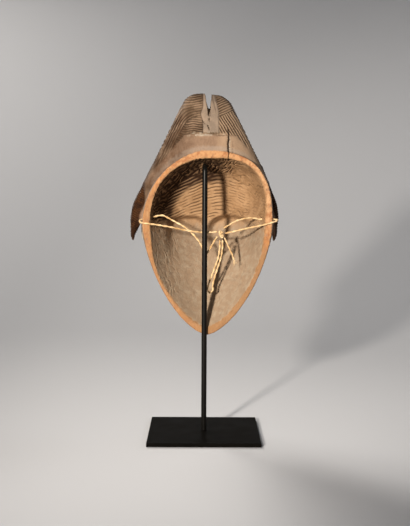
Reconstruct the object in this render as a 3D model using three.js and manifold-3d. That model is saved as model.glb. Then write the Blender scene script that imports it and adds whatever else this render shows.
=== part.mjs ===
// A Punu okuyi mask on its display stand.
// Millimetres, +Z up. The hollow of the mask opens toward -Y and its carved face looks toward +Y.
// The origin is the centre of the underside of the stand's plate.

import * as THREE from "three";
import { mergeVertices } from "three/addons/utils/BufferGeometryUtils.js";
import Module from "manifold-3d";

const wasm = await Module();
wasm.setup();

// Clearance kept between pieces that touch
const GAP = 0.3;

// Stand: a square steel plate with a round rod on its centre, the rod's top bent forward as a prong
const PLATE = { side: 132, thickness: 4.5 };
const ROD = { radius: 3.2, prongZ: 321.7, prongClearance: 1.6, bend: 6.5, sides: 14, bendRings: 4 };

// Rim of the hollow: an inverted egg, broad above and pointed at the chin, in one plane in front of the rod
const RIM = {
  y: ROD.radius + 0.4,
  centreX: 3.2,
  centreZ: 253.2,
  halfWidth: 77.9,
  above: 86.7,
  below: 133.8,
  powerLeft: 1.88,
  powerRight: 2.71,
  powerBelow: 1.58,
  band: 7.5,
  bandSwell: 1.5,
  bandThin: 1.9,
  thinAngle: -2.25,
};

// Head: a dome from the rim to the brow, fuller at the temples
const HEAD = { depth: 90, bulge: 0.12, bulgeBelow: 0.05, fullness: 2.2, columns: 48, rings: 14 };

// Hollow: a steep wall round a shallow bowl behind the forehead, running out in a ramp to the chin
const HOLLOW = {
  depth: 66,
  powerSide: 3,
  powerBelow: 1.67,
  wallPower: 9,
  bowlPower: 2,
  bowlShare: 0.22,
  wallFrom: 0.12,
  wallOver: 0.35,
  mouth: 12,
  columns: 40,
  rings: 11,
};

// Pockets scooped out behind the eyes, the left one squarer
const POCKETS = [
  { x: -22, z: 243, halfWidth: 26, above: 19, below: 52, depth: 14, power: 3 },
  { x: 33, z: 243, halfWidth: 31, above: 21, below: 52, depth: 15, power: 2 },
];

// Face: heights of its features and the half distance between the eyes
const FACE = {
  hairlineZ: 322,
  browZ: 274,
  eyeZ: 251,
  noseBaseZ: 206,
  mouthZ: 180,
  chinZ: 141,
  eyeX: 30,
};

// Coiffure: a cone of combed hair in two lobes, level with the rim behind and standing over the forehead
const HAIR = {
  centreX: 2.2,
  base: 300,
  top: 412,
  refZ: 318,
  refHalfWidth: 70.4,
  taper: 0.4935,
  widest: 78,
  corner: 11,
  power: 2.3,
  droop: 34,
  ridge: 0.55,
  rows: 31,
  columns: 36,
};

// Slot between the two lobes, highest in the middle of the crest
const SLOT = {
  topLeft: -0.4,
  topRight: 6.6,
  bottomX: 5,
  halfBottom: 0.9,
  bottomMid: 394,
  bottomEnd: 379,
  midY: 50,
  reach: 60,
};

// Smooth nape cut flat below a ledge
const NAPE = { x: 8.8, halfWidth: 46, bottomZ: 339.9, ledgeZ: 359.6, lean: 6.8 };

// Long crack through the nape, the rim and the wall
const CRACK = { x: 27.8, bottomZ: 322, topZ: 365, halfWidth: 0.75, depth: 9 };

// Side tresses, free of the cheeks only at their tips; the right one lies closer to the head
const TRESS = { rings: 17, sides: 8, ridge: 0.7, tuckRight: 9 };

// Tie holes through the wall on each side
const HOLE = { radius: 2.6, sides: 10 };

// Tie cord
const CORD = { radius: 1, sides: 8, step: 6.5 };

// Finishes
const wood = new THREE.MeshStandardMaterial({ color: 0x9a7a58, roughness: 0.8, metalness: 0 });
const blackSteel = new THREE.MeshStandardMaterial({ color: 0x141414, roughness: 0.45, metalness: 0.3 });
const straw = new THREE.MeshStandardMaterial({ color: 0xcdb07c, roughness: 0.9, metalness: 0 });

function mix(from, to, share) {
  return from + (to - from) * share;
}

function clamp01(value) {
  return Math.min(1, Math.max(0, value));
}

function ease(value) {
  const t = clamp01(value);
  return t * t * (3 - 2 * t);
}

function swell(across, up) {
  return Math.exp(-(across * across + up * up));
}

function signedPower(value, power) {
  return Math.sign(value) * Math.abs(value) ** power;
}

// Closed skin over rings of points, with a pole at each end, faces pointing out
function closedSkin(rings, startPole, endPole) {
  const columns = rings[0].length;
  const points = [startPole, ...rings.flat(), endPole];
  const last = points.length - 1;
  const at = (ring, column) => 1 + ring * columns + (column % columns);
  const faces = [];
  for (let column = 0; column < columns; column += 1) {
    faces.push(0, at(0, column + 1), at(0, column));
    faces.push(last, at(rings.length - 1, column), at(rings.length - 1, column + 1));
    for (let ring = 0; ring < rings.length - 1; ring += 1) {
      const a = at(ring, column);
      const b = at(ring, column + 1);
      const c = at(ring + 1, column + 1);
      const d = at(ring + 1, column);
      faces.push(a, b, c, a, c, d);
    }
  }
  let volume = 0;
  for (let i = 0; i < faces.length; i += 3) {
    const [a, b, c] = [points[faces[i]], points[faces[i + 1]], points[faces[i + 2]]];
    volume += a.dot(new THREE.Vector3().crossVectors(b, c));
  }
  if (volume < 0) {
    faces.reverse();
  }
  const geometry = new THREE.BufferGeometry().setFromPoints(points);
  geometry.setIndex(faces);
  return geometry;
}

function toSolid(geometry) {
  const bare = geometry.clone();
  bare.deleteAttribute("normal");
  bare.deleteAttribute("uv");
  const merged = mergeVertices(bare, 1e-3);
  const mesh = new wasm.Mesh({
    numProp: 3,
    vertProperties: new Float32Array(merged.attributes.position.array),
    triVerts: new Uint32Array(merged.index.array),
  });
  return new wasm.Manifold(mesh);
}

function toGeometry(solid) {
  const mesh = solid.getMesh();
  const geometry = new THREE.BufferGeometry();
  geometry.setAttribute("position", new THREE.BufferAttribute(mesh.vertProperties, 3));
  geometry.setIndex(new THREE.BufferAttribute(mesh.triVerts, 1));
  geometry.computeVertexNormals();
  return geometry;
}

// Ellipsoid placed and turned about the upright axis
function ellipsoid(centre, radii, turn = 0, columns = 16, rows = 10) {
  const geometry = new THREE.SphereGeometry(1, columns, rows);
  geometry.scale(radii[0], radii[1], radii[2]);
  geometry.rotateZ(turn);
  geometry.translate(centre[0], centre[1], centre[2]);
  return toSolid(geometry);
}

// Rim outline

function rimRadius(angle) {
  const across = Math.abs(Math.cos(angle)) / RIM.halfWidth;
  const above = Math.sin(angle) > 0;
  const up = Math.abs(Math.sin(angle)) / (above ? RIM.above : RIM.below);
  const powerAbove = Math.cos(angle) < 0 ? RIM.powerLeft : RIM.powerRight;
  const power = above ? powerAbove : RIM.powerBelow;
  return (across ** power + up ** power) ** (-1 / power);
}

// Width of the rim's cut face, thinnest at the lower left
function bandWidth(angle) {
  const lowerLeft = swell(Math.sin((angle - RIM.thinAngle) / 2) / 0.2, 0);
  return RIM.band + RIM.bandSwell * Math.cos(4 * angle) - RIM.bandThin * lowerLeft;
}

function fromRimCentre(angle, radius, y) {
  return new THREE.Vector3(
    RIM.centreX + radius * Math.cos(angle),
    y,
    RIM.centreZ + radius * Math.sin(angle),
  );
}

// Head dome

function domePower(angle) {
  const down = clamp01(-Math.sin(angle));
  return mix(3, 4, down);
}

// Broad forms of the face added to the dome's depth
function faceForms(x, z) {
  const across = Math.abs(x - RIM.centreX);
  const forehead = 11 * swell(across / 50, (z - 304) / 26);
  const socket = -9 * swell((across - FACE.eyeX) / 19, (z - FACE.eyeZ - 3) / 14);
  const cheek = 5 * swell((across - 36) / 18, (z - 218) / 22);
  const muzzle = 5 * swell(across / 26, (z - FACE.mouthZ) / 18);
  const chin = 13 * swell(across / 20, (z - FACE.chinZ) / 14);
  const jaw = -5 * swell((across - 40) / 18, (z - 165) / 24);
  return forehead + socket + cheek + muzzle + chin + jaw;
}

function domePoint(angle, lift) {
  const share = Math.cos(lift) ** (2 / domePower(angle));
  const rise = Math.sin(lift) ** (2 / HEAD.fullness);
  const bulge = mix(HEAD.bulge, HEAD.bulgeBelow, Math.abs(Math.sin(angle)));
  const radius = rimRadius(angle) * share * (1 + bulge * Math.sin(2 * lift));
  const point = fromRimCentre(angle, radius, RIM.y + HEAD.depth * rise);
  point.y += faceForms(point.x, point.z) * ease((rise - 0.3) / 0.5);
  return point;
}

function headSolid() {
  const rings = [];
  for (let ring = 0; ring < HEAD.rings; ring += 1) {
    const lift = (Math.PI / 2) * (ring / HEAD.rings);
    const points = [];
    for (let column = 0; column < HEAD.columns; column += 1) {
      points.push(domePoint((2 * Math.PI * column) / HEAD.columns, lift));
    }
    rings.push(points);
  }
  const back = fromRimCentre(0, 0, RIM.y);
  const front = domePoint(0, Math.PI / 2);
  return toSolid(closedSkin(rings, back, front));
}

// Depth of the face's surface at a place in the front view
function faceY(x, z) {
  const angle = Math.atan2(z - RIM.centreZ, x - RIM.centreX);
  const share = Math.hypot(x - RIM.centreX, z - RIM.centreZ) / rimRadius(angle);
  const rise = Math.max(0, 1 - share ** domePower(angle)) ** (1 / HEAD.fullness);
  return RIM.y + HEAD.depth * rise + faceForms(x, z) * ease((rise - 0.3) / 0.5);
}

// Hollow

// Share of the full depth: a ramp below, a steep wall round a shallow bowl above
function hollowRise(angle, share) {
  const up = Math.sin(angle);
  const ramp = 1 - share ** mix(HOLLOW.powerSide, HOLLOW.powerBelow, clamp01(-up));
  const wall = 1 - share ** HOLLOW.wallPower;
  const bowl = 1 - share ** HOLLOW.bowlPower;
  return mix(ramp, mix(wall, bowl, HOLLOW.bowlShare), ease((up - HOLLOW.wallFrom) / HOLLOW.wallOver));
}

function pocketDepth(x, z) {
  let depth = 0;
  for (const pocket of POCKETS) {
    const up = (z - pocket.z) / (z > pocket.z ? pocket.above : pocket.below);
    const across = (x - pocket.x) / pocket.halfWidth;
    const out = (Math.abs(across) ** pocket.power + Math.abs(up) ** pocket.power) ** (1 / pocket.power);
    depth = Math.max(depth, pocket.depth * (1 - ease((out - 0.68) / 0.36)));
  }
  return depth;
}

function hollowPoint(angle, share) {
  const radius = (rimRadius(angle) - bandWidth(angle)) * share;
  const point = fromRimCentre(angle, radius, RIM.y + HOLLOW.depth * hollowRise(angle, share));
  point.y += pocketDepth(point.x, point.z);
  return point;
}

function hollowSolid() {
  const rings = [];
  for (let ring = 0; ring <= HOLLOW.rings; ring += 1) {
    const share = ring === 0 ? 1 : Math.cos(((ring - 1) / HOLLOW.rings) * (Math.PI / 2));
    const points = [];
    for (let column = 0; column < HOLLOW.columns; column += 1) {
      const point = hollowPoint((2 * Math.PI * column) / HOLLOW.columns, share);
      if (ring === 0) {
        point.y = RIM.y - HOLLOW.mouth;
      }
      points.push(point);
    }
    rings.push(points);
  }
  const outside = fromRimCentre(0, 0, RIM.y - HOLLOW.mouth);
  return toSolid(closedSkin(rings, outside, hollowPoint(0, 0)));
}

// Coiffure

function hairHalfWidth(z) {
  const cone = Math.min(HAIR.widest, HAIR.refHalfWidth - HAIR.taper * (z - HAIR.refZ));
  const over = clamp01((z - (HAIR.top - HAIR.corner)) / HAIR.corner);
  return cone - HAIR.corner * (1 - Math.sqrt(1 - over * over));
}

// Back and front of the coiffure at a height
function hairBackY(z) {
  const above = Math.max(0, z - NAPE.bottomZ) / (HAIR.top - NAPE.bottomZ);
  return RIM.y + 0.4 + 30 * above ** 1.6;
}

function hairFrontY(z) {
  const above = Math.max(0, z - FACE.hairlineZ) / (HAIR.top - FACE.hairlineZ);
  return 85 - 20 * above ** 2;
}

function hairPoint(angle, level, ridge) {
  const fade = ease((HAIR.top - level) / 40);
  const z = level - HAIR.droop * fade * Math.cos(angle) ** 2;
  const over = clamp01((level - (HAIR.top - HAIR.corner)) / HAIR.corner);
  const shrink = HAIR.corner * (1 - Math.sqrt(1 - over * over));
  const halfDepth = (hairFrontY(z) - hairBackY(z)) / 2 - shrink * 0.9;
  const middleY = (hairFrontY(z) + hairBackY(z)) / 2;
  const across = signedPower(Math.cos(angle), 2 / HAIR.power);
  const along = signedPower(Math.sin(angle), 2 / HAIR.power);
  const halfWidth = hairHalfWidth(z);
  const x = HAIR.centreX + (halfWidth + ridge) * across;
  const y = middleY + (halfDepth + ridge) * along;
  return new THREE.Vector3(x, y, z);
}

// Combed ridges stop short of the smooth collar round the rim
function ridgeAt(point) {
  const angle = Math.atan2(point.z - RIM.centreZ, point.x - RIM.centreX);
  const outside = Math.hypot(point.x - RIM.centreX, point.z - RIM.centreZ) - rimRadius(angle);
  return HAIR.ridge * Math.max(ease((outside - 6) / 5), ease((point.y - 30) / 15));
}

function hairSolid() {
  const rings = [];
  for (let row = 0; row < HAIR.rows; row += 1) {
    const level = mix(HAIR.base, HAIR.top, row / (HAIR.rows - 1));
    const side = row % 2 === 0 ? 1 : -1;
    const points = [];
    for (let column = 0; column < HAIR.columns; column += 1) {
      const angle = (2 * Math.PI * (column + 0.5)) / HAIR.columns;
      const plain = hairPoint(angle, level, 0);
      points.push(hairPoint(angle, level, side * ridgeAt(plain)));
    }
    rings.push(points);
  }
  const middleY = (hairFrontY(HAIR.base) + hairBackY(HAIR.base)) / 2;
  const bottom = new THREE.Vector3(HAIR.centreX, middleY, HAIR.base - HAIR.droop / 2);
  const crownY = (hairFrontY(HAIR.top) + hairBackY(HAIR.top)) / 2;
  const crown = new THREE.Vector3(HAIR.centreX, crownY, HAIR.top);
  return toSolid(closedSkin(rings, bottom, crown));
}

// Wedge of air between the lobes, upright on its right, its floor arched along the crest
function slotSolid() {
  const stations = 9;
  const rings = [];
  for (let station = 0; station < stations; station += 1) {
    const along = mix(-1, 1, station / (stations - 1));
    const y = SLOT.midY + SLOT.reach * along;
    const floor = mix(SLOT.bottomMid, SLOT.bottomEnd, Math.min(1, (along * along) / 0.25));
    const roof = HAIR.top + 6;
    const up = (roof - floor) / (HAIR.top - floor);
    const left = SLOT.bottomX - SLOT.halfBottom;
    const right = SLOT.bottomX + SLOT.halfBottom;
    rings.push([
      new THREE.Vector3(left, y, floor),
      new THREE.Vector3(right, y, floor),
      new THREE.Vector3(mix(right, SLOT.topRight, up), y, roof),
      new THREE.Vector3(mix(left, SLOT.topLeft, up), y, roof),
    ]);
  }
  const middleZ = (SLOT.bottomEnd + HAIR.top) / 2;
  const back = new THREE.Vector3(SLOT.bottomX, SLOT.midY - SLOT.reach, middleZ);
  const front = new THREE.Vector3(SLOT.bottomX, SLOT.midY + SLOT.reach, middleZ);
  return toSolid(closedSkin(rings, back, front));
}

// Leaning block that cuts the nape flat and leaves the ledge above it
function napeSolid() {
  const block = new THREE.BoxGeometry(2 * NAPE.halfWidth, 40, NAPE.ledgeZ - NAPE.bottomZ);
  const position = block.attributes.position;
  for (let i = 0; i < position.count; i += 1) {
    const share = position.getZ(i) > 0 ? 1 : 0;
    const front = position.getY(i) > 0;
    position.setY(i, front ? RIM.y + NAPE.lean * share : -30);
    position.setZ(i, mix(NAPE.bottomZ, NAPE.ledgeZ, share));
    position.setX(i, position.getX(i) + NAPE.x);
  }
  return toSolid(block);
}

function crackSolid() {
  const height = CRACK.topZ - CRACK.bottomZ;
  const blade = new THREE.BoxGeometry(2 * CRACK.halfWidth, 2 * CRACK.depth, height);
  blade.rotateX(-Math.atan2(NAPE.lean, height));
  blade.translate(CRACK.x, RIM.y + NAPE.lean / 2, (CRACK.topZ + CRACK.bottomZ) / 2);
  return toSolid(blade);
}

// Face details

function noseSolid() {
  const rings = [];
  const stations = 9;
  for (let station = 0; station < stations; station += 1) {
    const share = station / (stations - 1);
    const z = mix(FACE.browZ - 6, FACE.noseBaseZ - 1, share);
    const halfWidth = 5 + 7 * share ** 1.5;
    const proud = share < 0.9 ? 6 + 13 * (share / 0.9) : 19 - 8 * ((share - 0.9) / 0.1);
    const centreY = faceY(RIM.centreX, z) - 3;
    const points = [];
    for (let side = 0; side < 12; side += 1) {
      const angle = (2 * Math.PI * side) / 12;
      const x = RIM.centreX + halfWidth * Math.cos(angle);
      const forward = Math.sin(angle) > 0 ? proud : 6;
      points.push(new THREE.Vector3(x, centreY + forward * Math.sin(angle), z));
    }
    rings.push(points);
  }
  const topY = faceY(RIM.centreX, FACE.browZ) - 4;
  const baseY = faceY(RIM.centreX, FACE.noseBaseZ) + 3;
  const top = new THREE.Vector3(RIM.centreX, topY, FACE.browZ);
  const base = new THREE.Vector3(RIM.centreX, baseY, FACE.noseBaseZ - 3);
  return toSolid(closedSkin(rings, top, base));
}

function browSolid(side) {
  const rings = [];
  const stations = 11;
  const point = (share) => {
    const across = mix(9, 56, share);
    const z = FACE.browZ - 2 + 8 * Math.sin(Math.PI * (0.12 + 0.83 * share));
    const x = RIM.centreX + side * across;
    return new THREE.Vector3(x, faceY(x, z), z);
  };
  for (let station = 1; station < stations; station += 1) {
    const share = station / stations;
    const centre = point(share);
    const size = 0.45 + 0.55 * Math.sin(Math.PI * share);
    const points = [];
    for (let corner = 0; corner < 6; corner += 1) {
      const angle = (2 * Math.PI * corner) / 6;
      const forward = 3.4 * size * Math.cos(angle);
      const up = 2.6 * size * Math.sin(angle);
      points.push(new THREE.Vector3(centre.x, centre.y + forward, centre.z + up));
    }
    rings.push(points);
  }
  return toSolid(closedSkin(rings, point(0), point(1)));
}

function eyelidSolid(side) {
  const x = RIM.centreX + side * FACE.eyeX;
  const y = faceY(x, FACE.eyeZ);
  const turn = -side * 0.32;
  const lid = ellipsoid([x, y - 3, FACE.eyeZ], [18.5, 9, 9.5], turn, 14, 8);
  const slit = ellipsoid([x, y + 5.5, FACE.eyeZ - 2.5], [15.5, 6, 1.3], turn, 10, 6);
  return lid.subtract(slit);
}

function lipsSolid() {
  const y = faceY(RIM.centreX, FACE.mouthZ);
  const upper = ellipsoid([RIM.centreX, y - 4, FACE.mouthZ + 4.2], [19, 9, 4.8], 0, 14, 8);
  const lower = ellipsoid([RIM.centreX, y - 4, FACE.mouthZ - 4.6], [16, 9, 4.8], 0, 14, 8);
  return upper.add(lower);
}

function nostrilWing(side) {
  const x = RIM.centreX + side * 8.5;
  const y = faceY(x, FACE.noseBaseZ);
  return ellipsoid([x, y + 3, FACE.noseBaseZ + 4.5], [6.5, 8, 6], 0, 10, 6);
}

// Diamond of nine raised scales on the forehead
function scaleSolids() {
  const pitch = 8.4;
  const solids = [];
  for (let row = 0; row < 3; row += 1) {
    for (let column = 0; column < 3; column += 1) {
      const x = RIM.centreX + (column - row) * pitch * 0.5;
      const z = 300 + (column + row - 2) * pitch * 0.62;
      const scale = new THREE.OctahedronGeometry(1);
      scale.scale(pitch * 0.44, 2.6, pitch * 0.54);
      scale.translate(x, faceY(x, z), z);
      solids.push(toSolid(scale));
    }
  }
  return solids;
}

function earSolid(side) {
  const centreX = RIM.centreX + side * 74;
  const shell = ellipsoid([centreX, 66, 246], [8, 13, 20], side * 0.45, 14, 8);
  const bowl = ellipsoid([centreX + side * 8, 72, 247], [6, 9, 13], side * 0.45, 10, 6);
  return shell.subtract(bowl);
}

// Side tress: a flattened braid with cross ridges, widest where it leaves the cheek
function tressSolid(side) {
  const route = new THREE.CatmullRomCurve3([
    new THREE.Vector3(-54, 55, 332),
    new THREE.Vector3(-65, 52, 312),
    new THREE.Vector3(-73.5, 49, 292),
    new THREE.Vector3(-80.5, 46, 274),
    new THREE.Vector3(-84, 44, 260),
    new THREE.Vector3(-86.8, 43, 247),
    new THREE.Vector3(-88.6, 43, 238),
    new THREE.Vector3(-88, 43, 230.5),
  ]);
  const place = (point, share) => {
    if (side > 0) {
      point.x = 2 * RIM.centreX - point.x - TRESS.tuckRight * share;
    }
    return point;
  };
  const rings = [];
  for (let ring = 1; ring < TRESS.rings; ring += 1) {
    const share = ring / TRESS.rings;
    const centre = route.getPointAt(share);
    const tangent = route.getTangentAt(share);
    const outward = new THREE.Vector3(-tangent.z, 0, tangent.x);
    const taper = Math.min(1, Math.sqrt((1 - share) * 9));
    const ridge = ring % 2 === 0 ? TRESS.ridge : -TRESS.ridge;
    const halfThick = (6.5 + 2.2 * swell((share - 0.62) / 0.22, 0)) * mix(1, 0.58, ease((share - 0.72) / 0.2));
    const points = [];
    for (let corner = 0; corner < TRESS.sides; corner += 1) {
      const angle = (2 * Math.PI * corner) / TRESS.sides;
      const thick = (halfThick * taper + ridge) * Math.cos(angle);
      const wide = (mix(11, 7, share) * taper + ridge) * Math.sin(angle);
      const point = centre.clone().addScaledVector(outward, thick);
      point.y += wide;
      points.push(place(point, share));
    }
    rings.push(points);
  }
  return toSolid(closedSkin(rings, place(route.getPointAt(0), 0), place(route.getPointAt(1), 1)));
}

// Tie hole from a mouth inside the hollow to the outside of the wall
function holeSolid(inside, outside) {
  const along = new THREE.Vector3().subVectors(outside, inside);
  const drill = new THREE.CylinderGeometry(HOLE.radius, HOLE.radius, along.length() + 24, HOLE.sides);
  const turn = new THREE.Quaternion().setFromUnitVectors(new THREE.Vector3(0, 1, 0), along.clone().normalize());
  drill.applyQuaternion(turn);
  const middle = inside.clone().add(outside).multiplyScalar(0.5);
  drill.translate(middle.x, middle.y, middle.z);
  return toSolid(drill);
}

function maskGeometry() {
  const added = [hairSolid(), noseSolid(), lipsSolid(), ...scaleSolids()];
  for (const side of [-1, 1]) {
    added.push(browSolid(side), eyelidSolid(side), nostrilWing(side), earSolid(side), tressSolid(side));
  }
  const carved = added.reduce((solid, next) => solid.add(next), headSolid());
  const cuts = [
    hollowSolid(),
    slotSolid(),
    napeSolid(),
    crackSolid(),
    holeSolid(new THREE.Vector3(-62.9, 15.6, 260.6), new THREE.Vector3(-76, 8.5, 258)),
    holeSolid(new THREE.Vector3(69, 15.8, 258.4), new THREE.Vector3(82.4, 8.5, 258.6)),
  ];
  return toGeometry(cuts.reduce((solid, cut) => solid.subtract(cut), carved));
}

// Stand

function plateGeometry() {
  const plate = new THREE.BoxGeometry(PLATE.side, PLATE.side, PLATE.thickness);
  plate.translate(0, 0, PLATE.thickness / 2);
  return plate;
}

function rodGeometry() {
  const rodRing = (centre, direction) => {
    const points = [];
    const up = new THREE.Vector3(0, -direction.z, direction.y);
    for (let side = 0; side < ROD.sides; side += 1) {
      const angle = (2 * Math.PI * side) / ROD.sides;
      const point = centre.clone().addScaledVector(up, ROD.radius * Math.sin(angle));
      point.x += ROD.radius * Math.cos(angle);
      points.push(point);
    }
    return points;
  };
  const foot = new THREE.Vector3(0, 0, PLATE.thickness + GAP);
  const upward = new THREE.Vector3(0, 0, 1);
  const rings = [rodRing(foot, upward)];
  for (let step = 0; step <= ROD.bendRings; step += 1) {
    const turn = (Math.PI / 2) * (step / ROD.bendRings);
    const y = ROD.bend * (1 - Math.cos(turn));
    const z = ROD.prongZ - ROD.bend * (1 - Math.sin(turn));
    rings.push(rodRing(new THREE.Vector3(0, y, z), new THREE.Vector3(0, Math.sin(turn), Math.cos(turn))));
  }
  const up = Math.PI / 2;
  const share = (ROD.prongZ + ROD.radius - RIM.centreZ) / (rimRadius(up) - bandWidth(up));
  const tip = new THREE.Vector3(0, hollowPoint(up, share).y - ROD.prongClearance, ROD.prongZ);
  rings.push(rodRing(tip, new THREE.Vector3(0, 1, 0)));
  return closedSkin(rings, foot, tip);
}

// Tie cord

const KNOT = { x: 19.8, y: 7.6, z: 240.6, rx: 3.3, ry: 3.4, rz: 6 };

const CORD_ROUTES = {
  // Over the left rim, in through its hole and back under the first strand
  cord_left: [
    [15.4, 6.8, 243.6], [9, 6, 243.1], [0.4, 5.4, 242.8], [-17.5, 4.6, 244.5], [-41.4, 3.5, 249.2],
    [-60, 2.2, 252.2], [-70, 1.7, 253.4], [-77.2, 1.5, 254.2], [-81, 4.2, 255.6], [-79.4, 7.1, 257.2],
    [-73, 10.2, 258.6], [-66, 13.9, 260], [-60.5, 16.4, 261.2], [-55.6, 17, 262.4], [-50.1, 16.2, 262.6],
    [-44.1, 15, 259.8], [-34, 13, 254.4], [-23.6, 11.2, 248.6], [-13, 9.2, 239.4], [-5.5, 7.8, 229.9],
    [-1.6, 7, 221.6], [1.9, 6.8, 217.6], [5.2, 6.8, 221.2], [10.4, 6.9, 230.4], [15.3, 7.1, 238.2],
  ],
  // Over the right rim, in through its hole and back above the first strand
  cord_right: [
    [24.2, 6.8, 241.8], [32, 6, 243.4], [42.2, 4.8, 246], [54, 3.2, 248.8], [64, 2.1, 250.9],
    [73, 1.6, 253], [81, 1.4, 255.4], [86, 3, 257.2], [86.8, 6, 258.4], [83, 8.4, 258.7],
    [76, 12, 258.5], [69.6, 15.2, 258.5], [65, 16.4, 258.8], [58, 15.4, 260.2], [48.3, 13, 259.4],
    [37.5, 10.4, 256.4], [28, 8.8, 251], [22.6, 8, 247.8],
  ],
  // Doubled tail hanging below the knot
  cord_loop: [
    [18.4, 8.2, 233.6], [18.2, 9, 224], [16.4, 10, 212], [12, 11, 199], [8, 11.6, 188],
    [4.7, 11.9, 178.4], [3.9, 12, 173], [6.9, 12, 169.6], [10.1, 12, 172.8], [10, 12, 178.6],
    [12.2, 11.8, 188], [15.6, 11.4, 199], [19.6, 10.4, 212], [21.5, 9.3, 224], [21.4, 8.4, 233.6],
  ],
  // Short cut tail
  cord_tail: [[23.8, 8.6, 236.6], [26.4, 10, 231], [29.6, 11.2, 224], [33.1, 12.2, 216.6], [35.6, 12.8, 209.4]],
};

function cordGeometry(route) {
  const curve = new THREE.CatmullRomCurve3(route.map((point) => new THREE.Vector3(...point)));
  const section = new THREE.Shape();
  for (let side = 0; side < CORD.sides; side += 1) {
    const angle = (2 * Math.PI * side) / CORD.sides;
    const corner = [CORD.radius * Math.cos(angle), CORD.radius * Math.sin(angle)];
    if (side === 0) {
      section.moveTo(...corner);
    } else {
      section.lineTo(...corner);
    }
  }
  const steps = Math.ceil(curve.getLength() / CORD.step);
  return new THREE.ExtrudeGeometry(section, { steps, extrudePath: curve, bevelEnabled: false });
}

function knotGeometry() {
  const knot = new THREE.SphereGeometry(1, 12, 8);
  knot.scale(KNOT.rx, KNOT.ry, KNOT.rz);
  knot.translate(KNOT.x, KNOT.y, KNOT.z);
  return knot;
}

// Assembly

function piece(name, geometry, material) {
  const mesh = new THREE.Mesh(geometry, material);
  mesh.name = name;
  return mesh;
}

const group = new THREE.Group();
group.add(piece("mask", maskGeometry(), wood));
group.add(piece("stand_plate", plateGeometry(), blackSteel));
group.add(piece("stand_rod", rodGeometry(), blackSteel));
group.add(piece("cord_knot", knotGeometry(), straw));
for (const [name, route] of Object.entries(CORD_ROUTES)) {
  group.add(piece(name, cordGeometry(route), straw));
}

export default group;
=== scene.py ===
"""Looks of a Punu okuyi mask on its display stand: carved wood, straw tie cord and black steel."""

import logging
import math
from dataclasses import dataclass, field
from enum import Enum
from functools import cached_property
from typing import ClassVar

import bpy
import numpy as np
from mathutils import Matrix, Vector


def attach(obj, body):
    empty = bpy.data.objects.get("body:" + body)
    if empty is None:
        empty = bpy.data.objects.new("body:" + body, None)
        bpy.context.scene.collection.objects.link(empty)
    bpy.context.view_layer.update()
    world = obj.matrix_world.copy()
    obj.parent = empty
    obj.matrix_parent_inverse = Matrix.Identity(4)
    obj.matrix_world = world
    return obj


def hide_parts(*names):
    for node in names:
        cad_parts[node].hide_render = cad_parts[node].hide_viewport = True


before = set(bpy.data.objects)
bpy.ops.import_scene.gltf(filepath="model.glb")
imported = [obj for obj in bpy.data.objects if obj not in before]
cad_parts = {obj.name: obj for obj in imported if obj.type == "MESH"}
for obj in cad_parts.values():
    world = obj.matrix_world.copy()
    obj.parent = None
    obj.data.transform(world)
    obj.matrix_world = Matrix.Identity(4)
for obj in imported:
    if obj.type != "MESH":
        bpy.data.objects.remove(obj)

log = logging.getLogger("okuyi_mask")

MM = 0.001
IMAGE_WIDTH, IMAGE_HEIGHT = 410, 526
WAVES = 8


# Small helpers


def linear(hex_code: str) -> tuple[float, float, float, float]:
    """Turn an sRGB hex colour to linear.

    Args:
        hex_code: The colour as "#rrggbb".

    Returns:
        Linear red, green and blue with alpha 1.
    """
    channels = [int(hex_code[i : i + 2], 16) / 255 for i in (1, 3, 5)]
    low = [c / 12.92 if c <= 0.04045 else ((c + 0.055) / 1.055) ** 2.4 for c in channels]
    return (low[0], low[1], low[2], 1.0)


def ease(value: np.ndarray) -> np.ndarray:
    """Smooth step from 0 to 1 as value goes from 0 to 1."""
    t = np.clip(value, 0.0, 1.0)
    return t * t * (3 - 2 * t)


def mix(start: float, end: float, share: np.ndarray) -> np.ndarray:
    """Blend from start to end by a share."""
    return start + (end - start) * share


def swell(across: np.ndarray, up: np.ndarray) -> np.ndarray:
    """Round bump that falls off as a bell in two directions."""
    return np.exp(-(across**2 + up**2))


def streak(offset: np.ndarray, half_width: float) -> np.ndarray:
    """Soft line: 1 in its middle, falling off as a bell to both sides."""
    return np.exp(-((offset / half_width) ** 2))


def unit(vectors: np.ndarray) -> np.ndarray:
    """Vectors of length 1 in the same directions."""
    return vectors / np.linalg.norm(vectors, axis=-1, keepdims=True)


def full_turn(count: int) -> np.ndarray:
    """One row of even angles round a circle."""
    return np.linspace(0, 2 * math.pi, count, endpoint=False)[None]


def ripple(points: np.ndarray, size: float, seed: int) -> np.ndarray:
    """Smooth irregular waves through space, the same on each run.

    Args:
        points: Places, in millimetres, one row each.
        size: Usual length of a wave, in millimetres.
        seed: Which set of waves.

    Returns:
        One number for each place, mostly between -1 and 1.
    """
    rng = np.random.default_rng(seed)
    waves = unit(rng.normal(size=(WAVES, 3)))
    waves *= (2 * math.pi / size) * rng.uniform(0.6, 1.5, WAVES)[:, None]
    turns = rng.uniform(0, 2 * math.pi, WAVES)
    return np.sin(points @ waves.T + turns).sum(1) / math.sqrt(WAVES)


def add_node(
    tree: bpy.types.NodeTree, kind: str, settings: dict | None = None, links: dict | None = None
) -> bpy.types.Node:
    """Add a node with its settings and links.

    Args:
        tree: The node tree.
        kind: The node's type name.
        settings: Attributes of the node by name.
        links: Input sockets by name or number, each with a value, a hex colour or an output socket.

    Returns:
        The new node.
    """
    node = tree.nodes.new(kind)
    for name, value in (settings or {}).items():
        setattr(node, name, value)
    for name, value in (links or {}).items():
        if isinstance(value, bpy.types.NodeSocket):
            tree.links.new(value, node.inputs[name])
        else:
            node.inputs[name].default_value = linear(value) if isinstance(value, str) else value
    return node


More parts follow.
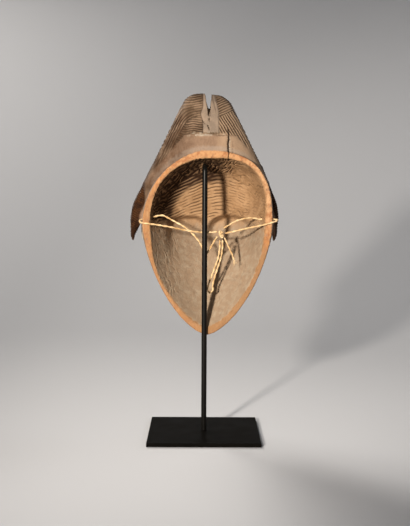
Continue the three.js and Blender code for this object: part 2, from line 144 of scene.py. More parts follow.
def fresh_material(name: str) -> tuple[bpy.types.Material, bpy.types.NodeTree]:
    """Make a material with an empty node tree.

    Args:
        name: The material's name.

    Returns:
        The material and its tree.
    """
    material = bpy.data.materials.new(name)
    material.use_nodes = True
    material.node_tree.nodes.clear()
    return material, material.node_tree


# Meshes


def stood(name: str, data: bpy.types.ID) -> bpy.types.Object:
    """Put data in the scene as an object at the origin.

    Args:
        name: The object's name.
        data: Its mesh, camera or light.

    Returns:
        The object.
    """
    thing = bpy.data.objects.new(name, data)
    bpy.context.scene.collection.objects.link(thing)
    return thing


def points_of(mesh: bpy.types.Mesh) -> np.ndarray:
    """Read a mesh's vertices.

    Args:
        mesh: The mesh.

    Returns:
        Places in millimetres, one row each.
    """
    points = np.empty(len(mesh.vertices) * 3)
    mesh.vertices.foreach_get("co", points)
    return points.reshape(-1, 3) / MM


@dataclass
class Skin:
    """A closed surface as plain arrays: points in millimetres and faces as point numbers."""

    points: np.ndarray
    faces: list

    @staticmethod
    def wrapped(rings: np.ndarray, start: np.ndarray, end: np.ndarray) -> "Skin":
        """Close rings of points with a pole at each end, faces pointing out.

        Args:
            rings: Points as ring, column, coordinate.
            start: Pole before the first ring.
            end: Pole after the last ring.

        Returns:
            The closed skin.
        """
        count, columns = rings.shape[:2]
        points = np.concatenate([[start], rings.reshape(-1, 3), [end]])
        ids = 1 + np.arange(count * columns).reshape(count, columns)
        after = np.roll(ids, -1, axis=1)
        quads = np.stack([ids[:-1], after[:-1], after[1:], ids[1:]], -1).reshape(-1, 4)
        first = np.stack([np.zeros_like(ids[0]), after[0], ids[0]], -1)
        last = np.stack([np.full_like(ids[0], len(points) - 1), ids[-1], after[-1]], -1)
        a, b, c, d = (points[quads[:, i]] for i in range(4))
        volume = np.einsum("ij,ij->", a, np.cross(b, c)) + np.einsum("ij,ij->", a, np.cross(c, d))
        order = 1 if volume > 0 else -1
        faces = [face[::order] for part in (quads, first, last) for face in part.tolist()]
        return Skin(points, faces)

    @staticmethod
    def ellipsoid(centre: tuple, radii: tuple, turn: float = 0.0, columns: int = 48) -> "Skin":
        """Ellipsoid turned about the upright axis.

        Args:
            centre: Its middle.
            radii: Half sizes along X, Y and Z.
            turn: Angle about Z in radians.
            columns: Faces around.

        Returns:
            The closed skin.
        """
        rise = np.linspace(-math.pi / 2, math.pi / 2, columns // 2 + 1)[1:-1, None]
        angle = full_turn(columns)
        ball = np.stack(np.broadcast_arrays(
            np.cos(rise) * np.cos(angle), np.cos(rise) * np.sin(angle), np.sin(rise)), -1)
        poles = np.array([(0, 0, -1.0), (0, 0, 1.0)])
        cos, sin = math.cos(turn), math.sin(turn)
        spin = np.array([[cos, -sin, 0], [sin, cos, 0], [0, 0, 1]])
        ball, poles = ((part * np.array(radii)) @ spin.T + np.array(centre) for part in (ball, poles))
        return Skin.wrapped(ball, *poles)

    @staticmethod
    def joined(skins: list["Skin"]) -> "Skin":
        """Put skins together.

        Args:
            skins: The skins.

        Returns:
            All of them as one set of points and faces.
        """
        points = []
        faces = []
        count = 0
        for skin in skins:
            points.append(skin.points)
            faces.extend([[i + count for i in face] for face in skin.faces])
            count += len(skin.points)
        return Skin(np.concatenate(points), faces)

    def placed(self, name: str) -> bpy.types.Object:
        """Make the Blender object, in metres.

        Args:
            name: The object's name.

        Returns:
            The object, at the origin.
        """
        mesh = bpy.data.meshes.new(name)
        mesh.from_pydata((self.points * MM).tolist(), [], self.faces)
        mesh.update()
        return stood(name, mesh)


def settled(thing: bpy.types.Object) -> bpy.types.Object:
    """Bake an object's modifiers into a plain mesh.

    Args:
        thing: The object.

    Returns:
        The same object with the finished mesh and no modifiers.
    """
    graph = bpy.context.evaluated_depsgraph_get()
    mesh = bpy.data.meshes.new_from_object(thing.evaluated_get(graph))
    old = thing.data
    thing.modifiers.clear()
    thing.data = mesh
    bpy.data.meshes.remove(old)
    return thing


def cut(thing: bpy.types.Object, cutter: Skin) -> bpy.types.Object:
    """Carve a closed skin out of an object.

    Args:
        thing: The object that is cut.
        cutter: The space to take away.

    Returns:
        The cut object.
    """
    tool = cutter.placed("cutter")
    knife = thing.modifiers.new("cut", "BOOLEAN")
    knife.operation = "DIFFERENCE"
    knife.solver = "MANIFOLD"
    knife.object = tool
    settled(thing)
    bpy.data.objects.remove(tool)
    return thing


def skin_of(thing: bpy.types.Object) -> Skin:
    """Read an object's mesh back as a skin and remove the object.

    Args:
        thing: The object.

    Returns:
        Its skin.
    """
    points = points_of(thing.data)
    faces = [list(polygon.vertices) for polygon in thing.data.polygons]
    bpy.data.objects.remove(thing)
    return Skin(points, faces)


def remesh(thing: bpy.types.Object, size: float) -> bpy.types.Object:
    """Rebuild an object's surface as even small squares.

    Args:
        thing: The object.
        size: Side of a square, in millimetres.

    Returns:
        The same object.
    """
    even = thing.modifiers.new("even", "REMESH")
    even.mode = "VOXEL"
    even.voxel_size = size * MM
    return settled(thing)


def smooth_shaded(thing: bpy.types.Object) -> None:
    """Shade every face of an object smooth."""
    thing.data.polygons.foreach_set("use_smooth", np.ones(len(thing.data.polygons), bool))
    thing.data.update()


def dressed(thing: bpy.types.Object, material: bpy.types.Material) -> bpy.types.Object:
    """Give an object one material and nothing else.

    Args:
        thing: The object.
        material: The material.

    Returns:
        The same object.
    """
    thing.data.materials.clear()
    thing.data.materials.append(material)
    return thing


def sized_tree(name: str, sizes: list[str]) -> tuple[bpy.types.NodeTree, bpy.types.Node]:
    """Start a Geometry Nodes tree that takes a mesh and named sizes.

    Args:
        name: The tree's name.
        sizes: Names of its number inputs.

    Returns:
        The tree and its input node.
    """
    tree = bpy.data.node_groups.new(name, "GeometryNodeTree")
    tree.interface.new_socket("Geometry", in_out="INPUT", socket_type="NodeSocketGeometry")
    for size in sizes:
        tree.interface.new_socket(size, in_out="INPUT", socket_type="NodeSocketFloat")
    tree.interface.new_socket("Geometry", in_out="OUTPUT", socket_type="NodeSocketGeometry")
    return tree, add_node(tree, "NodeGroupInput")


def end_tree(
    tree: bpy.types.NodeTree, shape: bpy.types.NodeSocket, material: bpy.types.Material
) -> bpy.types.NodeTree:
    """End a Geometry Nodes tree with real geometry in its material.

    Args:
        tree: The tree.
        shape: The finished shape.
        material: What it is made of.

    Returns:
        The same tree.
    """
    real = add_node(tree, "GeometryNodeRealizeInstances", None, {"Geometry": shape}).outputs[0]
    made = add_node(tree, "GeometryNodeSetMaterial", None, {"Geometry": real, "Material": material})
    add_node(tree, "NodeGroupOutput", None, {"Geometry": made.outputs[0]})
    return tree


def run_tree(thing: bpy.types.Object, tree: bpy.types.NodeTree, sizes: dict[str, float]) -> bpy.types.Object:
    """Run a Geometry Nodes tree on an object and keep the result as a plain mesh.

    Args:
        thing: The object.
        tree: The tree.
        sizes: The tree's sizes by name, in millimetres.

    Returns:
        The same object.
    """
    nodes = thing.modifiers.new(tree.name, "NODES")
    nodes.node_group = tree
    for item in tree.interface.items_tree:
        if item.name in sizes:
            nodes[item.identifier] = sizes[item.name] * MM
    return settled(thing)


# Shape of the mask


class Side(Enum):
    """Which side of the mask, looking into its hollow."""

    LEFT = -1
    RIGHT = 1


@dataclass(frozen=True)
class Pocket:
    """Hollow scooped out behind an eye, in millimetres."""

    x: float
    half_width: float
    above: float
    depth: float
    power: float
    z: float = 243
    below: float = 52

    def depth_at(self, x: np.ndarray, z: np.ndarray, grown: float = 0.0) -> np.ndarray:
        """How much deeper the hollow is at places in the back view.

        Args:
            x: Places across.
            z: Heights.
            grown: How much larger than the pocket to reckon with, as a share of its size.

        Returns:
            The depth to add.
        """
        up = np.abs(z - self.z) / np.where(z > self.z, self.above, self.below)
        across = np.abs(x - self.x) / self.half_width
        out = (across**self.power + up**self.power) ** (1 / self.power)
        return self.depth * (1 - ease((out - 0.68 - grown) / 0.36)) * ease((z - self.z + 42) / 50)


@dataclass
class MaskForm:
    """Driving sizes of the mask, in millimetres, and the surfaces that follow from them."""

    rim_y: float = 3.6
    centre_x: float = 3.2
    centre_z: float = 253.2
    half_width: float = 77.9
    above: float = 86.7
    below: float = 133.8
    power_left: float = 1.88
    power_right: float = 2.71
    power_below: float = 1.58
    band: float = 7.5
    band_swell: float = 1.5
    band_thin: float = 1.9
    thin_angle: float = -2.25
    head_depth: float = 90
    fullness: float = 2.2
    hollow_depth: float = 66
    pockets: tuple = (Pocket(-22, 26, 19, 14, 3), Pocket(33, 31, 21, 15, 2))
    hairline_z: float = 322
    brow_z: float = 274
    eye_z: float = 251
    eye_x: float = 30
    nose_base_z: float = 206
    mouth_z: float = 180
    chin_z: float = 141
    hair_x: float = 2.2
    hair_base: float = 300
    hair_top: float = 412
    hair_corner: float = 11
    hair_power: float = 2.3
    hair_droop: float = 34
    nape_z: float = 339.9
    nape_ledge_z: float = 359.6
    nape_lean: float = 6.8
    slot_top_left: float = -0.4
    slot_top_right: float = 6.6
    slot_bottom_x: float = 5
    slot_half_bottom: float = 1.4
    slot_bottom_mid: float = 394
    slot_bottom_end: float = 379
    crack_x: float = 27.8
    crack_bottom: float = 322
    crack_top: float = 366

    def rim_radius(self, angle: np.ndarray) -> np.ndarray:
        """Radius of the rim's outer outline.

        Args:
            angle: Direction from the rim's centre, from +X towards +Z.

        Returns:
            The radius for each direction.
        """
        across = np.abs(np.cos(angle)) / self.half_width
        above = np.sin(angle) > 0
        up = np.abs(np.sin(angle)) / np.where(above, self.above, self.below)
        side = np.where(np.cos(angle) < 0, self.power_left, self.power_right)
        power = np.where(above, side, self.power_below)
        return (across**power + up**power) ** (-1 / power)

    def band_width(self, angle: np.ndarray) -> np.ndarray:
        """Width of the rim's cut face in each direction, thinnest at the lower left."""
        lower_left = swell(np.sin((angle - self.thin_angle) / 2) / 0.2, 0)
        return self.band + self.band_swell * np.cos(4 * angle) - self.band_thin * lower_left

    def around(self, points: np.ndarray) -> tuple[np.ndarray, np.ndarray]:
        """Direction and distance of places from the rim's centre, seen along Y.

        Args:
            points: Places, one row each.

        Returns:
            The angle and the distance of each place.
        """
        x = points[..., 0] - self.centre_x
        z = points[..., 2] - self.centre_z
        return np.arctan2(z, x), np.hypot(x, z)

    def from_centre(self, angle: np.ndarray, radius: np.ndarray, y: np.ndarray) -> np.ndarray:
        """Set out places round the rim's centre.

        Args:
            angle: Direction of each from the centre.
            radius: Distance from the centre.
            y: Depth.

        Returns:
            The places.
        """
        x = self.centre_x + radius * np.cos(angle)
        z = self.centre_z + radius * np.sin(angle)
        return np.stack(np.broadcast_arrays(x, y, z), -1)

    def dome_power(self, angle: np.ndarray) -> np.ndarray:
        """How square the head's section is in each direction."""
        return mix(3, 4, np.clip(-np.sin(angle), 0, 1))

    def face_forms(self, x: np.ndarray, z: np.ndarray) -> np.ndarray:
        """Broad forms of the face added to the dome's depth.

        Args:
            x: Places across.
            z: Heights.

        Returns:
            Depth to add, in millimetres.
        """
        across = np.abs(x - self.centre_x)
        forehead = 11 * swell(across / 50, (z - 304) / 26)
        socket = -9 * swell((across - self.eye_x) / 19, (z - self.eye_z - 3) / 14)
        cheek = 5 * swell((across - 36) / 18, (z - 218) / 22)
        muzzle = 5 * swell(across / 26, (z - self.mouth_z) / 18)
        chin = 13 * swell(across / 20, (z - self.chin_z) / 14)
        jaw = -5 * swell((across - 40) / 18, (z - 165) / 24)
        return forehead + socket + cheek + muzzle + chin + jaw

    def face_y(self, x: np.ndarray, z: np.ndarray) -> np.ndarray:
        """Depth of the face's surface.

        Args:
            x: Places across, in the front view.
            z: Heights.

        Returns:
            The depth at each place.
        """
        x, z = np.asarray(x, float), np.asarray(z, float)
        angle, radius = self.around(np.stack([x, 0 * x, z + 0 * x], -1))
        share = radius / self.rim_radius(angle)
        rise = np.maximum(0, 1 - share ** self.dome_power(angle)) ** (1 / self.fullness)
        return self.rim_y + self.head_depth * rise + self.face_forms(x, z) * ease((rise - 0.3) / 0.5)

    def hollow_rise(self, angle: np.ndarray, share: np.ndarray) -> np.ndarray:
        """Share of the hollow's full depth: a ramp below, a steep wall round a shallow bowl above.

        Args:
            angle: Direction from the rim's centre.
            share: How far out, 1 at the hollow's edge.

        Returns:
            The share of the depth.
        """
        up = np.sin(angle)
        ramp = 1 - share ** mix(3, 1.67, np.clip(-up, 0, 1))
        bowl = mix(1 - share**9, 1 - share**2, 0.22)
        return mix(ramp, bowl, ease((up - 0.12) / 0.35))

    def hollow_y(self, points: np.ndarray, grown: float = 0.0) -> tuple[np.ndarray, np.ndarray]:
        """Depth of the hollow's surface seen along Y.

        Args:
            points: Places, one row each.
            grown: How much larger than they are to reckon the pockets.

        Returns:
            The depth at each place, and how far out the place lies, 1 at the hollow's edge.
        """
        angle, radius = self.around(points)
        share = radius / (self.rim_radius(angle) - self.band_width(angle))
        x, z = points[..., 0], points[..., 2]
        scoop = np.max([pocket.depth_at(x, z, grown) for pocket in self.pockets], axis=0)
        return self.rim_y + self.hollow_depth * self.hollow_rise(angle, share) + scoop, share

    def crack_at(self, z: np.ndarray) -> tuple[np.ndarray, np.ndarray]:
        """Where the crack runs.

        Args:
            z: Heights.

        Returns:
            Its middle and its half width at each height.
        """
        share = (z - self.crack_bottom) / (self.crack_top - self.crack_bottom)
        middle = self.crack_x + 0.35 * np.sin(z / 3.1) + 0.25 * np.sin(z / 1.3)
        return middle, mix(0.8, 0.42, np.abs(share - 0.42) / 0.58)

    def hair_shrink(self, level: np.ndarray) -> np.ndarray:
        """How far the crest's edge has rounded inwards at a level."""
        over = np.clip((level - (self.hair_top - self.hair_corner)) / self.hair_corner, 0, 1)
        return self.hair_corner * (1 - np.sqrt(1 - over**2))

    def hair_half_width(self, z: np.ndarray) -> np.ndarray:
        """Half width of the coiffure's cone at a height."""
        return np.minimum(78, 70.4 - 0.4935 * (z - 318)) - self.hair_shrink(z)

    def hair_back(self, z: np.ndarray) -> np.ndarray:
        """Depth of the coiffure's back at a height."""
        above = np.maximum(0, z - self.nape_z) / (self.hair_top - self.nape_z)
        return self.rim_y + 0.4 + 30 * above**1.6

    def hair_front(self, z: np.ndarray) -> np.ndarray:
        """Depth of the coiffure's front at a height."""
        above = np.maximum(0, z - self.hairline_z) / (self.hair_top - self.hairline_z)
        return 85 - 20 * above**2

    def hair_droop_at(self, level: np.ndarray) -> np.ndarray:
        """How far a lock of a level hangs down at the sides."""
        return self.hair_droop * ease((self.hair_top - level) / 40)

    def hair_point(self, angle: np.ndarray, level: np.ndarray) -> np.ndarray:
        """Places on the coiffure.

        Args:
            angle: Direction around the crest.
            level: Height of the lock at the middle of the back.

        Returns:
            The places.
        """
        z = level - self.hair_droop_at(level) * np.cos(angle) ** 2
        half_depth = (self.hair_front(z) - self.hair_back(z)) / 2 - self.hair_shrink(level) * 0.9
        middle = (self.hair_front(z) + self.hair_back(z)) / 2
        across = np.sign(np.cos(angle)) * np.abs(np.cos(angle)) ** (2 / self.hair_power)
        along = np.sign(np.sin(angle)) * np.abs(np.sin(angle)) ** (2 / self.hair_power)
        x = self.hair_x + self.hair_half_width(z) * across
        return np.stack(np.broadcast_arrays(x, middle + half_depth * along, z), -1)

    def hair_place(self, points: np.ndarray) -> tuple[np.ndarray, np.ndarray]:
        """Where places lie in the coiffure.

        Args:
            points: Places, one row each.

        Returns:
            How far out each lies, 1 on the surface, and the level of the lock it is on.
        """
        x, y, z = points.T
        half_width = np.maximum(self.hair_half_width(z), 3)
        half_depth = np.maximum((self.hair_front(z) - self.hair_back(z)) / 2, 3)
        middle = (self.hair_front(z) + self.hair_back(z)) / 2
        side = np.minimum(np.abs(x - self.hair_x) / half_width, 1.2)
        deep = np.abs(y - middle) / half_depth
        out = (side**self.hair_power + deep**self.hair_power) ** (1 / self.hair_power)
        level = z
        for _ in range(8):
            level = (level + z + self.hair_droop_at(level) * np.minimum(side, 1) ** self.hair_power) / 2
        return out, level


@dataclass
class MaskCarver:
    """Cuts the mask's closed shapes and joins them into one surface."""

    form: MaskForm
    wood: bpy.types.Material
    voxel: float = 0.72
    tris: int = 194000
    bulge_side: float = 0.12
    bulge_end: float = 0.05
    brow_from: float = 9
    brow_to: float = 56
    brow_proud: float = 3.4
    brow_half: float = 2.6
    lid_turn: float = 0.32
    lid_radii: tuple = (18.5, 9, 9.5)
    slit_radii: tuple = (15.5, 6, 1.3)
    upper_lip_radii: tuple = (19, 9, 4.8)
    lower_lip_radii: tuple = (16, 9, 4.8)
    nostril_radii: tuple = (6.5, 8, 6)
    nostril_x: float = 8.5
    ear_place: tuple = (74, 66, 246)
    ear_radii: tuple = (8, 13, 20)
    ear_bowl_radii: tuple = (6, 9, 13)
    ear_turn: float = 0.45
    tuck_right: float = 9
    tress_hatches: int = 33
    hatch_depth: float = 0.8
    tress_width: tuple = (11, 7)
    tress_thickness: float = 6.5
    slot_y: float = 50
    slot_reach: float = 70
    slot_wander: float = 0.35
    cleft_half: float = 1.1
    cleft_depth: float = 3.2
    crack_behind: float = 9
    crack_before: float = 8
    hole_radius: float = 2.5
    hole_reach: float = 12
    holes: tuple = (
        ((-62.9, 15.6, 260.6), (-76, 8.5, 258)),
        ((69, 15.8, 258.4), (82.4, 8.5, 258.6)),
    )

    def dome(self) -> Skin:
        """Head from the rim to the brow.

        Returns:
            The closed skin.
        """
        form = self.form
        angle = full_turn(220)
        lift = np.linspace(0, math.pi / 2, 90, endpoint=False)[:, None]
        power = form.dome_power(angle)
        rise = np.sin(lift) ** (2 / form.fullness)
        bulge = mix(self.bulge_side, self.bulge_end, np.abs(np.sin(angle)))
        radius = form.rim_radius(angle) * np.cos(lift) ** (2 / power) * (1 + bulge * np.sin(2 * lift))
        rings = form.from_centre(angle, radius, form.rim_y + form.head_depth * rise)
        rings[..., 1] += form.face_forms(rings[..., 0], rings[..., 2]) * ease((rise - 0.3) / 0.5)
        back = form.from_centre(0.0, 0.0, form.rim_y)
        front = form.from_centre(0.0, 0.0, form.rim_y + form.head_depth)
        front[1] += form.face_forms(front[0], front[2])
        return Skin.wrapped(rings, back, front)

    def coiffure(self) -> Skin:
        """Cone of hair before it is combed.

        Returns:
            The closed skin.
        """
        form = self.form
        angle = full_turn(200)
        level = np.linspace(form.hair_base, form.hair_top, 110)[:, None]
        rings = form.hair_point(angle, level)
        middle = (form.hair_front(form.hair_base) + form.hair_back(form.hair_base)) / 2
        bottom = np.array([form.hair_x, middle, form.hair_base - form.hair_droop / 2])
        crown_y = (form.hair_front(form.hair_top) + form.hair_back(form.hair_top)) / 2
        return Skin.wrapped(rings, bottom, np.array([form.hair_x, crown_y, form.hair_top]))

    def nose(self) -> Skin:
        """Long straight nose, narrow at the brow.

        Returns:
            The closed skin.
        """
        form = self.form
        share = np.linspace(0, 1, 40)[:, None]
        angle = full_turn(40)
        z = mix(form.brow_z - 6, form.nose_base_z - 1, share)
        half_width = 5 + 7 * share**1.5
        proud = np.where(share < 0.9, 6 + 13 * (share / 0.9), 19 - 8 * ((share - 0.9) / 0.1))
        forward = np.where(np.sin(angle) > 0, proud, 6)
        y = form.face_y(form.centre_x + 0 * z, z) - 3 + forward * np.sin(angle)
        x = form.centre_x + half_width * np.cos(angle)
        rings = np.stack(np.broadcast_arrays(x, y, z), -1)
        top = np.array([form.centre_x, form.face_y(form.centre_x, form.brow_z) - 4, form.brow_z])
        base_y = form.face_y(form.centre_x, form.nose_base_z) + 3
        base = np.array([form.centre_x, base_y, form.nose_base_z - 3])
        return Skin.wrapped(rings, top, base)

    def brow(self, side: Side) -> Skin:
        """Thin arched brow.

        Args:
            side: Which side it is on.

        Returns:
            The closed skin.
        """
        form = self.form
        share = np.linspace(0, 1, 44)
        z = form.brow_z - 2 + 8 * np.sin(math.pi * (0.12 + 0.83 * share))
        x = form.centre_x + side.value * mix(self.brow_from, self.brow_to, share)
        centre = np.stack([x, form.face_y(x, z), z], -1)
        size = (0.45 + 0.55 * np.sin(math.pi * share))[1:-1, None]
        angle = full_turn(14)
        rings = np.repeat(centre[1:-1, None], 14, axis=1)
        rings[..., 1] += self.brow_proud * size * np.cos(angle)
        rings[..., 2] += self.brow_half * size * np.sin(angle)
        return Skin.wrapped(rings, centre[0], centre[-1])

    def eyelids(self, side: Side) -> Skin:
        """Closed almond lids with a narrow slit.

        Args:
            side: Which eye.

        Returns:
            The closed skin.
        """
        form = self.form
        x = form.centre_x + side.value * form.eye_x
        y = float(form.face_y(x, form.eye_z))
        turn = -side.value * self.lid_turn
        lids = Skin.ellipsoid((x, y - 3, form.eye_z), self.lid_radii, turn).placed("lids")
        slit = Skin.ellipsoid((x, y + 5.5, form.eye_z - 2.5), self.slit_radii, turn)
        return skin_of(cut(lids, slit))

    def lips(self) -> list[Skin]:
        """Full closed lips.

        Returns:
            The upper and the lower lip.
        """
        form = self.form
        y = float(form.face_y(form.centre_x, form.mouth_z))
        upper = Skin.ellipsoid((form.centre_x, y - 4, form.mouth_z + 4.2), self.upper_lip_radii)
        lower = Skin.ellipsoid((form.centre_x, y - 4, form.mouth_z - 4.6), self.lower_lip_radii)
        return [upper, lower]

    def nostril(self, side: Side) -> Skin:
        """Wing of the nose.

        Args:
            side: Which side it is on.

        Returns:
            The closed skin.
        """
        form = self.form
        x = form.centre_x + side.value * self.nostril_x
        y = float(form.face_y(x, form.nose_base_z))
        return Skin.ellipsoid((x, y + 3, form.nose_base_z + 4.5), self.nostril_radii)

    def ear(self, side: Side) -> Skin:
        """Small shell-like ear on the side of the head.

        Args:
            side: Which side it is on.

        Returns:
            The closed skin.
        """
        across, y, z = self.ear_place
        x = self.form.centre_x + side.value * across
        turn = side.value * self.ear_turn
        shell = Skin.ellipsoid((x, y, z), self.ear_radii, turn).placed("ear")
        bowl = Skin.ellipsoid((x + side.value * 8, y + 6, z + 1), self.ear_bowl_radii, turn)
        return skin_of(cut(shell, bowl))

    def tress(self, side: Side) -> Skin:
        """Side tress with slanting hatches, free of the cheek at its tip.

        Args:
            side: Which side it hangs on. The right one lies closer to the head.

        Returns:
            The closed skin.
        """
        route = [
            (-54, 55, 332), (-65, 52, 312), (-73.5, 49, 292), (-80.5, 46, 274),
            (-84, 44, 260), (-86.8, 43, 247), (-88.6, 43, 238), (-88, 43, 230.5),
        ]
        line = even_path(np.array(route, float), 130)
        share = np.linspace(0, 1, len(line))[:, None]
        tangent = unit(np.gradient(line, axis=0))
        outward = np.stack([-tangent[:, 2], 0 * tangent[:, 0], tangent[:, 0]], -1)
        angle = full_turn(40)
        taper = np.minimum(1, np.sqrt(np.maximum(1 - share, 0.0004) * 9))
        taper = taper * np.sqrt(np.clip(share * 8, 0.03, 1))
        turns = share * self.tress_hatches + 0.4 * np.sin(angle)
        hatch = self.hatch_depth * (np.abs(np.sin(math.pi * turns)) - 0.75) * np.minimum(1, (1 - share) * 8)
        swollen = self.tress_thickness + 2.2 * swell((share - 0.62) / 0.22, 0)
        half_thick = swollen * mix(1, 0.58, ease((share - 0.72) / 0.2))
        thick = (half_thick * taper + hatch) * np.cos(angle)
        wide = (mix(*self.tress_width, share) * taper + hatch) * np.sin(angle)
        rings = line[:, None] + outward[:, None] * thick[..., None]
        rings[..., 1] += wide
        ends = np.stack([line[0], line[-1]])
        if side is Side.RIGHT:
            rings[..., 0] = 2 * self.form.centre_x - rings[..., 0] - self.tuck_right * share
            ends[:, 0] = 2 * self.form.centre_x - ends[:, 0] - self.tuck_right * np.array([0, 1])
        return Skin.wrapped(rings[1:-1], ends[0], ends[1])

    def hollow(self) -> Skin:
        """Space inside the mask, open behind.

        Returns:
            The closed skin.
        """
        form = self.form
        angle = full_turn(240)
        share = np.cos(np.linspace(0, math.pi / 2, 100, endpoint=False))[:, None]
        radius = (form.rim_radius(angle) - form.band_width(angle)) * share
        inner = form.from_centre(angle, radius, 0.0)
        inner[..., 1], _ = form.hollow_y(inner)
        mouth = inner[:1].copy()
        mouth[..., 1] = form.rim_y - 12
        outside = form.from_centre(0.0, 0.0, form.rim_y - 12)
        deepest = form.from_centre(0.0, 0.0, 0.0)
        deepest[1], _ = form.hollow_y(deepest)
        return Skin.wrapped(np.concatenate([mouth, inner]), outside, deepest)

    def slot(self) -> Skin:
        """Wedge of air between the two lobes, upright on its right, its floor arched along the crest.

        Returns:
            The closed skin.
        """
        form = self.form
        up = np.linspace(0, 1, 14)
        rings = []
        for step in np.linspace(-self.slot_reach, self.slot_reach, 15):
            floor = mix(form.slot_bottom_mid, form.slot_bottom_end, min(1, (step / 35) ** 2))
            z = mix(floor, form.hair_top + 6, up)
            share = (z - floor) / (form.hair_top - floor)
            wander = self.slot_wander * np.sin(z / 3.4) * np.sin(math.pi * np.clip(share, 0, 1))
            left = mix(form.slot_bottom_x - form.slot_half_bottom, form.slot_top_left, share) + wander
            right = mix(form.slot_bottom_x + form.slot_half_bottom, form.slot_top_right, share)
            walls = [np.stack([x, self.slot_y + step + 0 * z, z], -1) for x in (left, right)]
            rings.append(np.concatenate([walls[0], walls[1][::-1]]))
        rings = np.array(rings)
        return Skin.wrapped(rings, rings[0].mean(0), rings[-1].mean(0))

    def slivers(self) -> list[Skin]:
        """Dark clefts that run on below the slot.

        Returns:
            A closed skin for each.
        """
        lines = [
            [(-3.4, 377.4), (-1.9, 374.8), (0.4, 371.8)],
            [(5.2, 380), (5.0, 378), (5.4, 374.8)],
            [(2.6, 371.4), (4.0, 368.8), (5.2, 364.6)],
        ]
        clefts = []
        for line in lines:
            route = np.array([(x, self.form.hair_back(z) + 0.6, z) for x, z in line])
            centre = even_path(route, 16)
            size = np.sin(np.linspace(0.12, math.pi - 0.12, 16))[:, None]
            angle = full_turn(10)
            rings = np.repeat(centre[:, None], 10, axis=1)
            rings[..., 0] += self.cleft_half * size * np.cos(angle)
            rings[..., 1] += self.cleft_depth * size * np.sin(angle)
            clefts.append(Skin.wrapped(rings, centre[0], centre[-1]))
        return clefts

    def crack(self) -> Skin:
        """Wavering split down the nape, the rim and the wall.

        Returns:
            The closed skin.
        """
        form = self.form
        z = np.linspace(form.crack_bottom, form.crack_top, 60)
        x, half = form.crack_at(z)
        lean = form.nape_lean * (z - form.crack_bottom) / (form.crack_top - form.crack_bottom)
        back = form.rim_y - self.crack_behind + lean
        front = form.rim_y + self.crack_before + lean
        outline = ((-1, back), (1, back), (0.3, front), (-0.3, front))
        rings = np.stack([np.stack([x + wide * half, y, z], -1) for wide, y in outline], 1)
        return Skin.wrapped(rings, rings[0].mean(0), rings[-1].mean(0))

    def tie_hole(self, inside: tuple, outside: tuple) -> Skin:
        """Round hole through the wall.

        Args:
            inside: Middle of its mouth in the hollow.
            outside: Middle of its mouth on the outside.

        Returns:
            The closed skin, longer than the wall is thick.
        """
        start, end = np.array(inside, float), np.array(outside, float)
        along = unit(end - start)
        side = unit(np.cross(along, (0, 0, 1)))
        up = np.cross(side, along)
        angle = full_turn(28)[0]
        circle = self.hole_radius * (np.cos(angle)[:, None] * side + np.sin(angle)[:, None] * up)
        start, end = start - self.hole_reach * along, end + self.hole_reach * along
        return Skin.wrapped(np.stack([start + circle, end + circle]), start, end)

    def carved(self) -> bpy.types.Object:
        """Join what is added, cut what is taken away and even out the surface.

        Returns:
            The mask as one closed mesh, before its fine relief.
        """
        added = [self.dome(), self.coiffure(), self.nose(), *self.lips()]
        for side in Side:
            added += [self.brow(side), self.eyelids(side), self.nostril(side)]
            added += [self.ear(side), self.tress(side)]
        added.append(ScaleField(self.form, self.wood).skin())
        block = remesh(Skin.joined(added).placed("mask_wood"), self.voxel * 1.15)
        for cutter in [self.hollow(), self.slot(), *(self.tie_hole(*mouths) for mouths in self.holes)]:
            cut(block, cutter)
        remesh(block, self.voxel)
        worn = block.modifiers.new("worn", "SMOOTH")
        worn.factor = 0.5
        worn.iterations = 2
        settled(block)
        return block

    def thinned(self, block: bpy.types.Object) -> bpy.types.Object:
        """Thin the mesh where it is plain, keeping the carving.

        Args:
            block: The mask.

        Returns:
            The same object.
        """
        count = sum(len(polygon.vertices) - 2 for polygon in block.data.polygons)
        if count > self.tris:
            thin = block.modifiers.new("thin", "DECIMATE")
            thin.ratio = self.tris / count
            settled(block)
        return block


@dataclass
class ScaleField:
    """Diamond of nine raised scales on the forehead, set out by Geometry Nodes."""

    form: MaskForm
    wood: bpy.types.Material
    pitch: float = 8.4
    rise: float = 3.6
    middle_z: float = 300

    def seats(self) -> bpy.types.Object:
        """Points on the forehead that carry one scale each.

        Returns:
            A mesh of nine points.
        """
        points = []
        for row in range(3):
            for column in range(3):
                x = self.form.centre_x + (column - row) * self.pitch * 0.5
                z = self.middle_z + (column + row - 2) * self.pitch * 0.62
                points.append((x, float(self.form.face_y(x, z)), z))
        return Skin(np.array(points), []).placed("scale_seats")

    def tree(self) -> bpy.types.NodeTree:
        """Node tree that sets a four-sided boss on every point.

        Returns:
            The tree, with the boss's half width, half height and rise as inputs.
        """
        tree, given = sized_tree("forehead_scales", ["Half width", "Rise", "Half height"])
        boss = add_node(tree, "GeometryNodeMeshUVSphere", None, {"Segments": 4, "Rings": 6, "Radius": 1.0})
        size = add_node(tree, "ShaderNodeCombineXYZ", None, {
            "X": given.outputs["Half width"], "Y": given.outputs["Rise"], "Z": given.outputs["Half height"]})
        set_out = add_node(tree, "GeometryNodeInstanceOnPoints", None, {
            "Points": given.outputs["Geometry"], "Instance": boss.outputs["Mesh"], "Scale": size.outputs[0]})
        return end_tree(tree, set_out.outputs["Instances"], self.wood)

    def skin(self) -> Skin:
        """The nine scales as one skin, ready to be joined to the head."""
        sizes = {"Half width": self.pitch * 0.44, "Rise": self.rise, "Half height": self.pitch * 0.54}
        return skin_of(run_tree(self.seats(), self.tree(), sizes))


